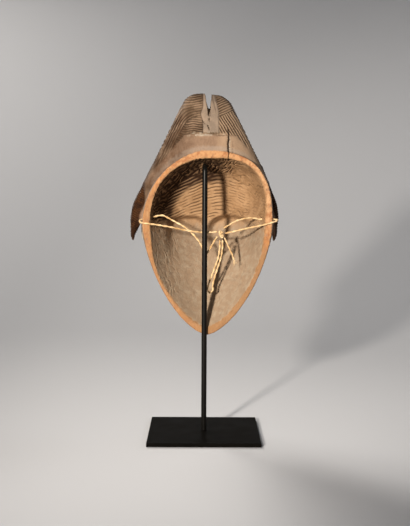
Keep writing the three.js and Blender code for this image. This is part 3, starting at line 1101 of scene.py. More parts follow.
@dataclass
class MaskRelief:
    """Fine carving and wear at places on the mask: combed hair, gouge marks, the rim's torn grain.

    Each property is worked out once for all the places. A share runs from 0 to 1.
    """

    form: MaskForm
    points: np.ndarray
    comb_pitch: float = 2.95
    comb_depth: float = 0.75
    hatch_pitch: float = 2.9
    line_half: float = 0.6
    stroke_depth: float = 0.9

    def __post_init__(self) -> None:
        """Measure where the places lie in the mask's broad forms."""
        self.x, self.y, self.z = self.points.T
        form, x, z = self.form, self.x, self.z
        self.across = np.abs(x - form.centre_x)
        self.angle, self.radius = form.around(self.points)
        self.rim = form.rim_radius(self.angle)
        self.outside = self.radius - self.rim
        self.hollow_out = form.hollow_y(self.points)[1]
        self.hair_out, self.level = form.hair_place(self.points)
        self.over_ledge = z - form.nape_ledge_z
        # edges of the smooth strips beside the slot, and the slanting divider on the right lobe's back
        self.strip_left = -2.8 - 2.6 * swell((z - 384.5) / 6, 0)
        self.strip_right = 11.6 + 4.2 * ease((409 - z) / 24)
        self.divide_z = 381.5 + 0.5 * (x - 16)
        # depth at which the back's combing meets the locks wrapped round the front
        middle = (form.hair_front(z) + form.hair_back(z)) / 2
        self.parting_y = np.minimum(form.hair_back(z) + 24, middle)

    def waves(self, size: float, seed: int) -> np.ndarray:
        """Irregular waves at the places."""
        return ripple(self.points, size, seed)

    @cached_property
    def hollow(self) -> np.ndarray:
        """Find the wall of the hollow.

        Returns:
            1 on the wall and 0 elsewhere.
        """
        form, y = self.form, self.y
        nudge = 1.6 / np.maximum(self.radius, 6)
        inwards = self.points.copy()
        inwards[:, 0] = mix(self.x, form.centre_x, nudge)
        inwards[:, 2] = mix(self.z, form.centre_z, nudge)
        deep, _ = form.hollow_y(inwards, 0.08)
        shallow, _ = form.hollow_y(2 * self.points - inwards, -0.45)
        near = (y < deep + 2.6) & (y > shallow - 2.6)
        return (near & (self.hollow_out < 1.03) & (y > form.rim_y + 0.35)).astype(float)

    @cached_property
    def cut_face(self) -> np.ndarray:
        """Find the rim's cut face, its inner edge irregular.

        Returns:
            The share of each place.
        """
        rough = 0.5 + 0.7 * self.waves(9, 31) + 0.4 * self.waves(3.5, 32)
        rough = np.clip(rough, 0, 1.6) * (1 + 1.8 * ease((self.z - 312) / 16))
        return ease((self.form.rim_y + 0.8 + rough - self.y) / 0.6) * (1 - ease((self.outside + 0.3) / 0.9))

    @cached_property
    def inner_edge(self) -> np.ndarray:
        """Find the rim's inner edge.

        Returns:
            1 along the edge, fading out across the cut face.
        """
        inside = self.rim - self.form.band_width(self.angle)
        width = 1.6 + 0.9 * self.waves(12, 36) + 0.5 * self.waves(4, 37)
        return 1 - ease((self.radius - inside) / np.maximum(width, 0.4) / 1.6)

    @cached_property
    def hair(self) -> np.ndarray:
        """Share of the coiffure, fading over the hairline."""
        on = (1 - ease((self.hair_out - 1.006) / 0.02)) * ease((self.level - 300) / 4)
        return np.maximum(on, ease((self.z - 396) / 8)) * (1 - self.hollow) * (1 - self.cut_face)

    @cached_property
    def tress(self) -> np.ndarray:
        """Find the side tresses.

        Returns:
            The share of each place.
        """
        edge = mix(82.5, 58, np.clip((self.z - 262) / 60, 0, 1))
        deep = ease((self.y - 32) / 4) * ease((66 - self.y) / 4)
        return ease((self.across - edge) / 4) * deep * (self.z > 226) * ease((326 - self.z) / 8)

    @cached_property
    def collar(self) -> np.ndarray:
        """Find the pale chamfer just outside the rim's cut.

        Returns:
            The share of each place.
        """
        width = 5.6 + 0.5 * np.sin(4 * self.angle)
        behind = 1 - ease((self.y - 12) / 14)
        return ease((self.outside + 0.2) / 0.5) * (1 - ease((self.outside - width) / 0.8)) * behind

    @cached_property
    def smooth(self) -> np.ndarray:
        """Find the scraped nape and the plain zone between the rim and the combed lobes.

        Returns:
            The share of each place.
        """
        ledge_z = self.form.nape_ledge_z
        left = ledge_z - 1.12 * np.maximum(0, -24 - self.x)
        right = ledge_z - 0.95 * np.maximum(0, self.x - 36)
        edge = np.where(self.x < 0, left, right) + 0.3 * self.waves(7, 33)
        near_rim = self.rim + 7 - self.radius
        inside = np.maximum(ease((edge - self.z + 0.3) / 0.6), ease((near_rim + 0.4) / 0.8))
        return inside * (1 - ease((self.y - 26) / 12)) * (self.z > 300)

    @cached_property
    def strips(self) -> np.ndarray:
        """Share of the smooth strips beside the slot."""
        past_left = ease(self.x - self.strip_left + 0.5)
        return past_left * (1 - ease(self.x - self.strip_right - 0.5)) * ease((self.z - 361) / 2)

    @cached_property
    def comb_phase(self) -> np.ndarray:
        """Count the combed lines up to each place.

        On the left lobe's back the lines run in level from the slot and turn down along the outer edge.
        On the right lobe's back they part: rising above a slanting divider and falling below it.

        Returns:
            The phase, whole at the bottom of each groove.
        """
        x, y, z = self.points.T
        form, pitch = self.form, self.comb_pitch
        waver = 0.14 * self.waves(30, 3) + 0.07 * self.waves(11, 4)
        inwards = (x - (form.hair_x - form.hair_half_width(z))) * 0.9
        steep = 399 - 1.08 * inwards
        sway = 1.1 * np.sin((x + 24) / 6.5) * ease((z - 362) / 12)
        flat = z + 0.06 * x + sway
        blend = 6.0
        hook = blend * np.logaddexp(flat / blend, steep / blend)
        hook = np.where(hook > 383, hook, flat + 0.9 * np.sin((x + 9) / 3.4))
        rising = (z - 0.5 * x) / (pitch * 1.12)
        falling = (0.85 * x + 0.53 * z) / pitch
        right = np.where(z > self.divide_z, rising, falling)
        back = np.where(x < 3.5, hook / pitch, right)
        combed = np.where(y > self.parting_y, self.level / pitch, back) + waver
        hatched = (z - 0.55 * self.across) / self.hatch_pitch
        return np.where(self.tress > 0.5, hatched, combed)

    @cached_property
    def combed(self) -> np.ndarray:
        """Find how deeply the coiffure is combed.

        Returns:
            The depth at each place as a share.
        """
        worn = 0.85 + 0.3 * self.waves(34, 5)
        on = self.hair * (1 - self.strips) * (1 - self.smooth)
        on *= 1 - (self.y < 52) * ease((326 - self.z) / 8)
        on *= ease((np.abs(self.y - self.parting_y) - 1.4) / 1.6)
        ledge = ease((self.over_ledge - 0.5) / 3)
        ledge = np.clip(ledge + (np.abs(self.x - 4) > 22) + (self.y > 30), 0, 1)
        locks = on * ledge * (1 - ease(self.tress / 0.4))
        return np.clip(worn, 0.45, 1.1) * np.maximum(locks, 0.85 * ease((self.tress - 0.6) / 0.3))

    @cached_property
    def border_lines(self) -> np.ndarray:
        """Find the lines along the strips beside the slot, the divider and the partings.

        Returns:
            The depth of the lines at each place as a share.
        """
        x, y, z = self.points.T
        back = (y < 45) & (z > self.form.nape_ledge_z + 1)
        left = streak(x - self.strip_left, self.line_half)
        right = 0.7 * streak(x - self.strip_right - 0.6, self.line_half)
        groove = 0.8 * streak(x - self.strip_right + 2.9, self.line_half) * ease((z - 384) / 8)
        divide = 0.5 * streak(np.abs(z - self.divide_z) * 0.9, self.line_half) * ((x > 14.5) & (x < 34))
        sides = 0.8 * streak(y - self.parting_y, 0.7) * ease((z - 322) / 8)
        return ((left + right + groove + divide) * back + sides) * self.hair

    def comb(self) -> np.ndarray:
        """Depth of the combed grooves and of the border lines beside the slot."""
        valley = (0.5 + 0.5 * np.cos(2 * math.pi * self.comb_phase)) ** 1.5
        return self.comb_depth * (self.combed * valley + 0.9 * self.border_lines)

    def nape(self) -> np.ndarray:
        """Work out how far the flat of the nape lies behind the lobes above its ledge.

        Returns:
            The depth at each place.
        """
        form, x, z = self.form, self.x, self.z
        share = np.clip((z - form.nape_z) / (form.nape_ledge_z - form.nape_z), 0, 1.2)
        plane = form.rim_y + form.nape_lean * share
        across = ease((x + 40) / 24) * (1 - ease((x - 39) / 7))
        below = 1 - ease((self.over_ledge + 0.35) / 0.7)
        return np.clip(plane - self.y, 0, 3.2) * across * below * (z > form.nape_z - 6) * (self.y < 20)

    @cached_property
    def tooling(self) -> tuple[np.ndarray, np.ndarray, np.ndarray]:
        """Lay out lanes of chisel strokes in the hollow: arcs over the forehead, slanted hatches up the
        wall, upright ones low on the left and plain ones below.

        Returns:
            The count of lanes up to each place, how many strokes along its lane it lies, and their depth.
        """
        x, y, z = self.points.T
        wall = ease((self.hollow_out - 0.76) / 0.08) * ease((z - 246) / 10)
        high = ease((z - 256) / 6)
        left = 1 - ease((x + 42) / 20)
        arc = z + mix(0.002, 0.0048, (z - 262) / 50) * (x - 15) ** 2 - 0.24 * np.minimum(0, x - 15)
        hatch_run, hatch_side = 0.75 * x + 0.66 * z, 0.75 * z - 0.66 * x + 0.1 * y
        far = ease((x - 20) / 8)
        # each field: count across its lanes, way along them, pitch, length of a stroke, seed, weight
        fields = [
            (arc, x, 4.1, 27, 47, 1.15 * high * (1 - wall) * (1 - far)),
            (arc + 0.12 * x, x, 3.7, 11, 51, high * (1 - wall) * far * (0.7 - 0.5 * ease((x - 48) / 14))),
            (hatch_side, hatch_run, 3.4, 13, 41, 1.4 * wall * (1 - ease((x - 32) / 10))),
            (0.9 * z + 0.4 * x, 0.9 * x - 0.4 * z, 3.6, 12, 42, 0.5 * wall * ease((x - 34) / 10)),
            (x + 0.28 * z, z, 4.8, 11, 45, 0.5 * left * (1 - high) * (1 - wall)),
            (x - 0.4 * z, z, 7.5, 14, 46, 0.16 * (1 - left) * (1 - high) * (1 - wall)),
        ]
        weights = np.stack([weight for *_, weight in fields])
        best = weights.argmax(0)
        ordered = np.sort(weights, axis=0)
        lane, run = np.zeros_like(x), np.zeros_like(x)
        for i, (side, along, pitch, length, seed, _) in enumerate(fields):
            jitter = 6 * self.waves(1.3 * length, seed) + 1.5 * self.waves(0.5 * length, seed + 1)
            jitter /= np.maximum(length, 14)
            lane = np.where(best == i, side / pitch + jitter + 40 * i, lane)
            run = np.where(best == i, along / length, run)
        sure = ease((ordered[-1] - ordered[-2]) / 0.12)
        return lane, run, ordered[-1] * sure * self.hollow * (1 - self.cut_face)

    def gouges(self) -> np.ndarray:
        """Work out the tool marks in the hollow, each stroke with one sharp edge.

        Returns:
            Their depth at each place.
        """
        lane, run, amount = self.tooling
        reach = run + 2.4 * np.sin(12.9898 * np.floor(lane))
        piece = reach - np.floor(reach)
        ends = ease(piece / 0.2) * (1 - ease((piece - 0.75) / 0.25))
        weight = 0.35 + 0.65 * np.abs(np.sin(78.233 * np.floor(lane) + 4.1 * np.floor(reach)))
        fall = lane - np.floor(lane)
        torn = ease((self.z - 318) / 7) * np.clip(self.waves(4.5, 43) + 0.6 * self.waves(2.4, 44), 0, 1.4)
        torn *= ease((self.hollow_out - 0.74) / 0.08) * self.hollow
        edge = fall**1.8 * (1 - ease((fall - 0.84) / 0.16))
        return self.stroke_depth * amount * edge * ends * weight + torn

    def inward(self) -> np.ndarray:
        """Work out how far the surface is taken back into the wood.

        Returns:
            Depth in millimetres, along the inward normal.
        """
        torn = 0.22 + 0.16 * self.waves(3.2, 21) + 0.14 * self.waves(9, 22)
        plain = 0.12 * self.waves(14, 23) + 0.06 * self.waves(4, 24)
        crown = 1.5 * ease((self.z - 398) / 10) * ease((self.x - 4) / 4)
        depth = self.comb() + 0.15 + plain + self.nape() + crown
        return depth + self.gouges() + self.cut_face * torn

    def shadow_and_dark_marks(self) -> np.ndarray:
        """Find where the wood is painted dark: painted shadow over the hollow's upper wall, most on its
        left, and dark torn pits, crack, border lines, a fine line and a line under the nape's ledge.

        Returns:
            How dark each place is painted, as a share.
        """
        x, y, z = self.points.T
        form, share = self.form, self.hollow_out
        pits = ease((z - 312) / 8) * ease((self.waves(6, 43) + 0.7 * self.waves(2.8, 44) - 0.2) / 0.8)
        # painted shadow: the rim shades the hollow's upper wall, most on its left
        wall = ease((share - 0.59) / 0.11) * ease((z - 246) / 16) * (1 - ease((x - 6) / 34))
        wall *= 1.15 * (1 - 0.35 * ease((share - 0.92) / 0.06))
        marks = self.hollow * (wall + 0.6 * pits * ease((share - 0.72) / 0.1))
        middle, half = form.crack_at(z)
        long = (z > form.crack_bottom) & (z < form.crack_top)
        split = 1.2 * np.exp(-(((x - middle) / (half + 0.25)) ** 4)) * long * (y < 18)
        hair_line = 0.5 * streak(x - 32.8, 0.45) * ((z > 327) & (z < 352) & (y < 14))
        ledge = 0.7 * streak(self.over_ledge + 0.9, 0.5) * ((x > 11) & (x < 40) & (y < 20))
        return np.clip(0.7 * self.border_lines + marks + split + hair_line + ledge, 0, 1)

    def worn_pale_and_highlight(self) -> np.ndarray:
        """Find where the edge of the nape's ledge is rubbed pale, and paint a highlight along the crack's
        right edge.

        Returns:
            The share of each place.
        """
        x, y, z = self.points.T
        middle, half = self.form.crack_at(z)
        line = streak(self.over_ledge + 0.7, 0.55) * ((x > -12) & (x < 8))
        flecks = streak(self.over_ledge - 0.8, 2.2) * (self.waves(5, 35) > 0.6) * (np.abs(x) < 26)
        # painted highlight along the crack's right edge
        crack_highlight = 0.7 * streak(x - middle - half - 0.7, 0.5) * ((z > 326) & (z < 358))
        return np.clip(line + 0.5 * flecks + crack_highlight, 0, 1) * (y < 20)


# Finishes


@dataclass(frozen=True)
class CarvedWood:
    """Light, close-grained wood finished with a knife: dry and matt, fresh and orange where it is cut,
    grey-brown with handling, dark with pigment rubbed into the hair, white with kaolin on the face.
    Painted shade and painted highlights are laid into its colour as well."""

    name: str = "carved_light_hardwood"
    hair_dark: str = "#5a4837"
    hair_light: str = "#8c7560"
    hair_painted_highlight: str = "#a38a71"
    bare: str = "#785f4e"
    bare_light: str = "#8a705c"
    chamfer: str = "#96887b"
    hollow_tan: str = "#8a6b4c"
    # light tan of the hollow, also the painted highlight on the chisel strokes' backs
    hollow_light_and_highlight: str = "#a28261"
    hollow_grey: str = "#8e7b67"
    hollow_pale: str = "#998975"
    cut_orange: str = "#a57042"
    cut_pale: str = "#b9916b"
    cut_dull: str = "#966543"
    pigment: str = "#2d190b"
    pigment_worn: str = "#442913"
    kaolin: str = "#b2aa9b"
    kaolin_worn: str = "#927d64"
    ochre: str = "#6b3a2b"
    # dark brown for painted shade and painted shadow (comb grooves, chisel strokes' edges, the hollow's
    # upper wall), and for dark pits, the crack and lines
    shade_and_dirt: str = "#25140a"
    # pores and fibres are really 0.1 to 0.3 mm across: grain, fuzz and grit are drawn coarser, to show
    grain_mm: float = 1.6
    fuzz_mm: float = 0.5
    speck_mm: float = 2.2
    mottle_mm: float = 7.0
    grit_mm: float = 1.2
    blotch_mm: float = 18.0
    grain_stretch: float = 0.09
    grey_starts: float = 0.262
    grey_full: float = 0.236

    def noises(
        self, tree: bpy.types.NodeTree, place: bpy.types.NodeSocket
    ) -> dict[str, bpy.types.NodeSocket]:
        """Patterns of the wood, each stretched to run from 0 to 1.

        Args:
            tree: The material's tree.
            place: Where on the object.

        Returns:
            The patterns by name.
        """
        long_grain = add_node(tree, "ShaderNodeMapping", None, {
            "Vector": place, "Scale": (1.0, 1.0, self.grain_stretch)})
        made = {}
        for name, vector, size, detail, low, high in (
            ("fibre", long_grain.outputs[0], self.grain_mm, 4.0, 0.3, 0.7),
            ("fuzz", long_grain.outputs[0], self.fuzz_mm, 3.0, 0.0, 1.0),
            ("patch", place, self.blotch_mm, 6.0, 0.35, 0.65),
            ("cover", place, self.blotch_mm, 6.0, 0.25, 0.45),
            ("rubbed", place, self.blotch_mm, 6.0, 0.48, 0.68),
            ("mottle", place, self.mottle_mm, 4.0, 0.42, 0.66),
            ("grit", place, self.grit_mm, 3.0, 0.3, 0.7),
            ("chips", place, self.speck_mm, 3.0, 0.45, 0.62),
            ("flakes", place, self.speck_mm, 3.0, 0.28, 0.36),
        ):
            noise = add_node(tree, "ShaderNodeTexNoise", None, {
                "Vector": vector, "Scale": 1 / (size * MM), "Detail": detail, "Roughness": 0.62})
            made[name] = add_node(tree, "ShaderNodeMapRange", {"interpolation_type": "SMOOTHSTEP"}, {
                "Value": noise.outputs["Fac"], "From Min": low, "From Max": high}).outputs["Result"]
        return made

    def strokes(self, tree: bpy.types.NodeTree) -> tuple[bpy.types.NodeSocket, bpy.types.NodeSocket]:
        """Chisel strokes, one to each lane, broken into lengths.

        Args:
            tree: The material's tree.

        Returns:
            How deep each place is in a stroke's sharp edge, and how high on its rounded back, from 0 to 1.
        """
        marks = add_node(tree, "ShaderNodeAttribute", {"attribute_name": "tooling"}).outputs["Color"]
        lane, run, amount = add_node(tree, "ShaderNodeSeparateColor", None, {0: marks}).outputs
        steps = {"lane": lane, "run": run, "amount": amount}
        for name, operation, *terms in (
            ("row", "FLOOR", "lane"),
            ("fall", "FRACT", "lane"),
            ("row turn", "MULTIPLY", "row", 12.9898),
            ("row sine", "SINE", "row turn"),
            ("reach", "MULTIPLY_ADD", "row sine", 2.4, "run"),
            ("piece", "FRACT", "reach"),
            ("length", "FLOOR", "reach"),
            ("length turn", "MULTIPLY", "length", 4.1),
            ("hash", "MULTIPLY_ADD", "row", 78.233, "length turn"),
            ("hash sine", "SINE", "hash"),
            ("hash size", "ABSOLUTE", "hash sine"),
            ("weight", "MULTIPLY_ADD", "hash size", 0.65, 0.35),
            ("depth", "MULTIPLY", "weight", "amount"),
        ):
            inputs = {i: steps.get(term, term) for i, term in enumerate(terms)}
            steps[name] = add_node(tree, "ShaderNodeMath", {"operation": operation}, inputs).outputs[0]
        ends = (("piece", 0.0, 0.2), ("piece", 1.0, 0.75))
        sharp_edge = (("fall", 0.7, 0.87), ("fall", 1.0, 0.93))
        round_back = (("fall", 0.05, 0.25), ("fall", 0.65, 0.5))
        made = []
        for sides in (sharp_edge, round_back):
            share = steps["depth"]
            for source, low, high in sides + ends:
                fade = add_node(tree, "ShaderNodeMapRange", {"interpolation_type": "SMOOTHSTEP"}, {
                    "Value": steps[source], "From Min": low, "From Max": high}).outputs[0]
                share = add_node(tree, "ShaderNodeMath", {"operation": "MULTIPLY"}, {
                    0: share, 1: fade}).outputs[0]
            made.append(share)
        return made[0], made[1]

    def combing(self, tree: bpy.types.NodeTree) -> tuple[bpy.types.NodeSocket, bpy.types.NodeSocket]:
        """Combed grooves of the coiffure and the painted shade on the rim.

        Args:
            tree: The material's tree.

        Returns:
            How deep in a groove each place is, and how much the rim is darkened, from 0 to 1: painted shade
            near its inner edge, duller tone low down and at the left.
        """
        comb = add_node(tree, "ShaderNodeAttribute", {"attribute_name": "combing"}).outputs["Color"]
        groove, amount, edge = add_node(tree, "ShaderNodeSeparateColor", None, {0: comb}).outputs
        for operation, *terms in (
            ("MULTIPLY", 2 * math.pi),
            ("COSINE",),
            ("MULTIPLY_ADD", 0.5, 0.5),
            ("POWER", 1.7),
            ("MULTIPLY", amount),
        ):
            inputs = {0: groove, **dict(enumerate(terms, 1))}
            groove = add_node(tree, "ShaderNodeMath", {"operation": operation}, inputs).outputs[0]
        return groove, edge

    def build(self) -> bpy.types.Material:
        """Build the material.

        Returns:
            The material, which reads the mask's zones, paints, combing and tooling attributes.
        """
        material, tree = fresh_material(self.name)
        place = add_node(tree, "ShaderNodeTexCoord").outputs["Object"]
        noise = self.noises(tree, place)
        stored = {name: add_node(tree, "ShaderNodeAttribute", {"attribute_name": name}).outputs
                  for name in ("zones", "paints", "combing", "tooling")}
        (hair, hollow, rim), (face, ochre, dark) = (
            add_node(tree, "ShaderNodeSeparateColor", None, {0: stored[name]["Color"]}).outputs
            for name in ("zones", "paints"))
        groove, inner_edge = self.combing(tree)
        stroke, crest = self.strokes(tree)
        height = add_node(tree, "ShaderNodeSeparateXYZ", None, {"Vector": place}).outputs["Z"]
        low = add_node(tree, "ShaderNodeMapRange", {"interpolation_type": "SMOOTHSTEP"}, {
            "Value": height, "From Min": self.grey_starts, "From Max": self.grey_full}).outputs[0]
        low_hollow, pale_patch = (
            add_node(tree, "ShaderNodeMath", {"operation": "MULTIPLY"}, {0: one, 1: other}).outputs[0]
            for one, other in ((low, hollow), (noise["fibre"], noise["patch"])))
        pale_rim = add_node(tree, "ShaderNodeMath", {"operation": "MAXIMUM"}, {
            0: pale_patch, 1: stored["tooling"]["Alpha"]}).outputs[0]
        layers = (
            (noise["fibre"], 1.0, self.bare_light),
            (hair, 1.0, self.hair_light),
            (hair, noise["patch"], self.hair_dark),
            # painted highlight on the back of the right lobe
            (stored["combing"]["Alpha"], 0.6, self.hair_painted_highlight),
            (stored["paints"]["Alpha"], noise["cover"], self.chamfer),
            (dark, noise["cover"], self.pigment),
            (dark, noise["mottle"], self.pigment_worn),
            # kaolin, also the rubbed ledge edge and the painted highlight along the crack's right edge
            (face, noise["flakes"], self.kaolin),
            (face, noise["rubbed"], self.kaolin_worn),
            (ochre, noise["cover"], self.ochre),
            (hollow, 1.0, self.hollow_tan),
            (hollow, noise["patch"], self.hollow_light_and_highlight),
            (low_hollow, 0.9, self.hollow_grey),
            (low_hollow, noise["mottle"], self.hollow_pale),
            (rim, 1.0, self.cut_orange),
            (rim, pale_rim, self.cut_pale),
            (rim, noise["mottle"], self.cut_dull),
            # painted shadow over the hollow's upper wall, and dark pits, crack and lines
            (stored["zones"]["Alpha"], 0.96, self.shade_and_dirt),
            # painted highlight on the chisel strokes' rounded backs
            (crest, 0.45, self.hollow_light_and_highlight),
            # painted shade along the rim's inner edge, and duller tone low down and at the left
            (rim, inner_edge, self.hollow_tan),
            # painted shade in the comb grooves
            (groove, 0.8, self.shade_and_dirt),
            # painted shadow on the chisel strokes' sharp edges
            (stroke, 0.75, self.shade_and_dirt),
        )
        colour = self.bare
        for where, share, over in layers:
            cover = add_node(tree, "ShaderNodeMath", {"operation": "MULTIPLY"}, {
                0: where, 1: share}).outputs[0]
            colour = add_node(tree, "ShaderNodeMix", {"data_type": "RGBA"}, {
                0: cover, 6: colour, 7: over}).outputs[2]
        relief = 0.0
        for source, millimetres in (
            (noise["fuzz"], 0.08),
            (noise["chips"], 0.05),
            (noise["grit"], 0.06),
            (groove, -0.6),
            (stroke, -0.5),
            (crest, 0.3),
        ):
            relief = add_node(tree, "ShaderNodeMath", {"operation": "MULTIPLY_ADD"}, {
                0: source, 1: millimetres, 2: relief}).outputs[0]
        bump = add_node(tree, "ShaderNodeBump", None, {"Strength": 1.0, "Distance": MM, "Height": relief})
        shader = add_node(tree, "ShaderNodeBsdfPrincipled", None, {
            "Base Color": colour, "Roughness": 0.78, "IOR": 1.45, "Normal": bump.outputs["Normal"],
            "Specular IOR Level": 0.16})
        add_node(tree, "ShaderNodeOutputMaterial", None, {"Surface": shader.outputs[0]})
        return material


@dataclass(frozen=True)
class BlackSteel:
    """Mild steel sprayed black: even and dark, a soft highlight and a faint orange-peel skin."""

    name: str = "satin_black_painted_steel"
    paint: str = "#080807"
    gloss: float = 0.1
    rubbed: str = "#12100e"
    peel_mm: float = 1.2
    smear_mm: float = 30

    def build(self) -> bpy.types.Material:
        """Build the material.

        Returns:
            The material.
        """
        material, tree = fresh_material(self.name)
        place = add_node(tree, "ShaderNodeTexCoord").outputs["Object"]
        peel, smear = (
            add_node(tree, "ShaderNodeTexNoise", None, {
                "Vector": place, "Scale": 1 / (size * MM), "Detail": detail}).outputs["Fac"]
            for size, detail in ((self.peel_mm, 2.0), (self.smear_mm, 5.0)))
        tone = add_node(tree, "ShaderNodeMix", {"data_type": "RGBA"}, {
            0: smear, 6: self.paint, 7: self.rubbed}).outputs[2]
        rough = add_node(tree, "ShaderNodeMapRange", None, {
            "Value": smear, "From Min": 0.3, "From Max": 0.7, "To Min": 0.3, "To Max": 0.4}).outputs[0]
        bump = add_node(tree, "ShaderNodeBump", None, {
            "Strength": 0.12, "Distance": 0.1 * MM, "Height": peel}).outputs[0]
        shader = add_node(tree, "ShaderNodeBsdfPrincipled", None, {
            "Base Color": tone, "Roughness": rough, "IOR": 1.5, "Normal": bump,
            "Specular IOR Level": self.gloss})
        add_node(tree, "ShaderNodeOutputMaterial", None, {"Surface": shader.outputs[0]})
        return material


@dataclass(frozen=True)
class StrawCord:
    """Raffia-like plant fibre twisted in two plies: dry, pale straw, with darker fibres along the lay."""

    name: str = "twisted_raffia_cord"
    straw: str = "#e9d0a6"
    shade: str = "#b58f5c"
    # single fibres are about 0.1 mm: they are drawn coarser, so that they show
    fibre_mm: float = 0.35
    length_mm: float = 9

    def build(self) -> bpy.types.Material:
        """Build the material.

        Returns:
            The material.
        """
        material, tree = fresh_material(self.name)
        place = add_node(tree, "ShaderNodeTexCoord").outputs["Object"]
        fibre, length = (
            add_node(tree, "ShaderNodeTexNoise", None, {
                "Vector": place, "Scale": 1 / (size * MM), "Detail": 3.0, "Roughness": rough}).outputs["Fac"]
            for size, rough in ((self.fibre_mm, 0.7), (self.length_mm, 0.5)))
        both = add_node(tree, "ShaderNodeMath", {"operation": "MULTIPLY"}, {0: fibre, 1: length}).outputs[0]
        share = add_node(tree, "ShaderNodeMapRange", None, {
            "Value": both, "From Min": 0.15, "From Max": 0.4}).outputs[0]
        tone = add_node(tree, "ShaderNodeMix", {"data_type": "RGBA"}, {
            0: share, 6: self.shade, 7: self.straw}).outputs[2]
        bump = add_node(tree, "ShaderNodeBump", None, {
            "Strength": 0.5, "Distance": 0.15 * MM, "Height": fibre}).outputs[0]
        shader = add_node(tree, "ShaderNodeBsdfPrincipled", None, {
            "Base Color": tone, "Roughness": 0.8, "IOR": 1.5, "Normal": bump})
        add_node(tree, "ShaderNodeOutputMaterial", None, {"Surface": shader.outputs[0]})
        return material


# Mask


@dataclass
class Mask:
    """The carved mask with its paint."""

    form: MaskForm = field(default_factory=MaskForm)
    finish: CarvedWood = CarvedWood()
    voxel: float = 0.72
    voxel_quick: float = 1.3

    def build(self) -> bpy.types.Object:
        """Carve, press in the fine relief, thin and paint.

        Returns:
            The finished mask.
        """
        wood = self.finish.build()
        carver = MaskCarver(self.form, wood, voxel=self.voxel)
        thing = self.press(carver.carved())
        for cutter in [carver.crack(), *carver.slivers()]:
            cut(thing, cutter)
        carver.thinned(thing)
        smooth_shaded(thing)
        self.paint(thing)
        return dressed(thing, wood)

    def press(self, thing: bpy.types.Object) -> bpy.types.Object:
        """Press the relief into a mesh.

        Args:
            thing: The mask's even mesh.

        Returns:
            The same object.
        """
        mesh = thing.data
        points = np.empty(len(mesh.vertices) * 3)
        normals = np.empty_like(points)
        mesh.vertices.foreach_get("co", points)
        mesh.vertex_normals.foreach_get("vector", normals)
        points, normals = points.reshape(-1, 3), normals.reshape(-1, 3)
        depth = MaskRelief(self.form, points / MM).inward()[:, None] * MM
        mesh.vertices.foreach_set("co", (points - normals * depth).ravel())
        mesh.update()
        return thing

    def paint(self, thing: bpy.types.Object) -> None:
        """Store at each vertex where each finish lies, and the phases of the lines.

        Args:
            thing: The mask.
        """
        form = self.form
        relief = MaskRelief(form, points_of(thing.data))
        x, y, z = relief.points.T
        hair, across = relief.hair, relief.across
        in_wood = 1 - relief.hollow
        temple = ease((z - 306) / 8) * ease((across - 34) / 8)
        temple = np.maximum(temple, ease((across - 70) / 4) * ease((z - 262) / 6))
        # hair pigment: dark in front, half worn low on the left of the back
        left_low = 0.45 * ease((-6 - x) / 25) * ease((404 - z) / 34)
        dark = hair * np.maximum(1.5 * ease((y - 34) / 26), left_low) + 2 * relief.tress
        dark = np.maximum(dark, temple * ease((y - 40) / 20) * in_wood)
        # kaolin on the face, ochre on the lips and the scales
        crown = ease((relief.level - 305) / 4) * (relief.hair_out < 1.06)
        bare = np.max([hair, relief.tress, relief.hollow, temple, crown], axis=0)
        kaolin = ease((y - 46 - 5 * relief.waves(16, 51)) / 7) * (1 - bare)
        lips = ((across / 20) ** 2 + ((z - form.mouth_z) / 10.5) ** 2 < 1) & (y > 96)
        scales = (np.abs(across / 15.5) + np.abs((z - 300) / 18.5) < 1) & (y > 90)
        ochre = 0.85 * (lips | scales)
        # painted shadow in the hollow, dark pits, crack and lines, with the lines of the brows and the
        # closed lids
        brow_line = form.brow_z - 2 + 8 * np.sin(math.pi * (0.12 + 0.83 * np.clip((across - 9) / 47, 0, 1)))
        brow = (np.abs(z - brow_line) < 2.3) & (across > 10) & (across < 55) & (y > 60)
        slit = (np.abs(z - form.eye_z + 2.5) < 1.5) & (np.abs(across - form.eye_x) < 14) & (y > 80)
        drawn = np.maximum(0.9 * slit, 0.75 * brow) * in_wood
        shadow_and_dark_marks = np.maximum(relief.shadow_and_dark_marks() * (1 - relief.cut_face), drawn)
        # rim: pale at the top right, duller low down and at the left, with painted shade along its inner
        # edge
        pale = np.maximum(ease((x - 30) / 30) * ease((z - 235) / 25), 0.6 * ease((z - 306) / 20))
        rim_shade_and_dull = mix(0.5, 0.8, ease((x + 20) / 40)) * ease((232 - z) / 20)
        rim_shade_and_dull = np.max([relief.inner_edge, rim_shade_and_dull, 0.45 * ease((-56 - x) / 12)], axis=0)
        chamfer = np.maximum(0.5 * relief.collar, 0.48 * relief.strips * (y < 40))
        # painted highlight on the back of the right lobe
        lit = ease((x - 10) / 12) * hair * (1 - ease((y - 30) / 14))
        store = {
            # alpha: painted shadow in the hollow and dark marks
            "zones": (hair * (1 - 0.75 * relief.smooth), relief.hollow, relief.cut_face, shadow_and_dark_marks),
            # pale: kaolin, the rubbed ledge edge and the painted highlight along the crack's right edge
            "paints": (np.maximum(kaolin, relief.worn_pale_and_highlight()), ochre, dark, chamfer),
            "combing": (relief.comb_phase, relief.combed, rim_shade_and_dull, lit),
            "tooling": (*relief.tooling, pale),
        }
        for name, channels in store.items():
            layer = thing.data.color_attributes.new(name, "FLOAT_COLOR", "POINT")
            layer.data.foreach_set("color", np.stack(channels, -1).astype(np.float32).ravel())


# Cords


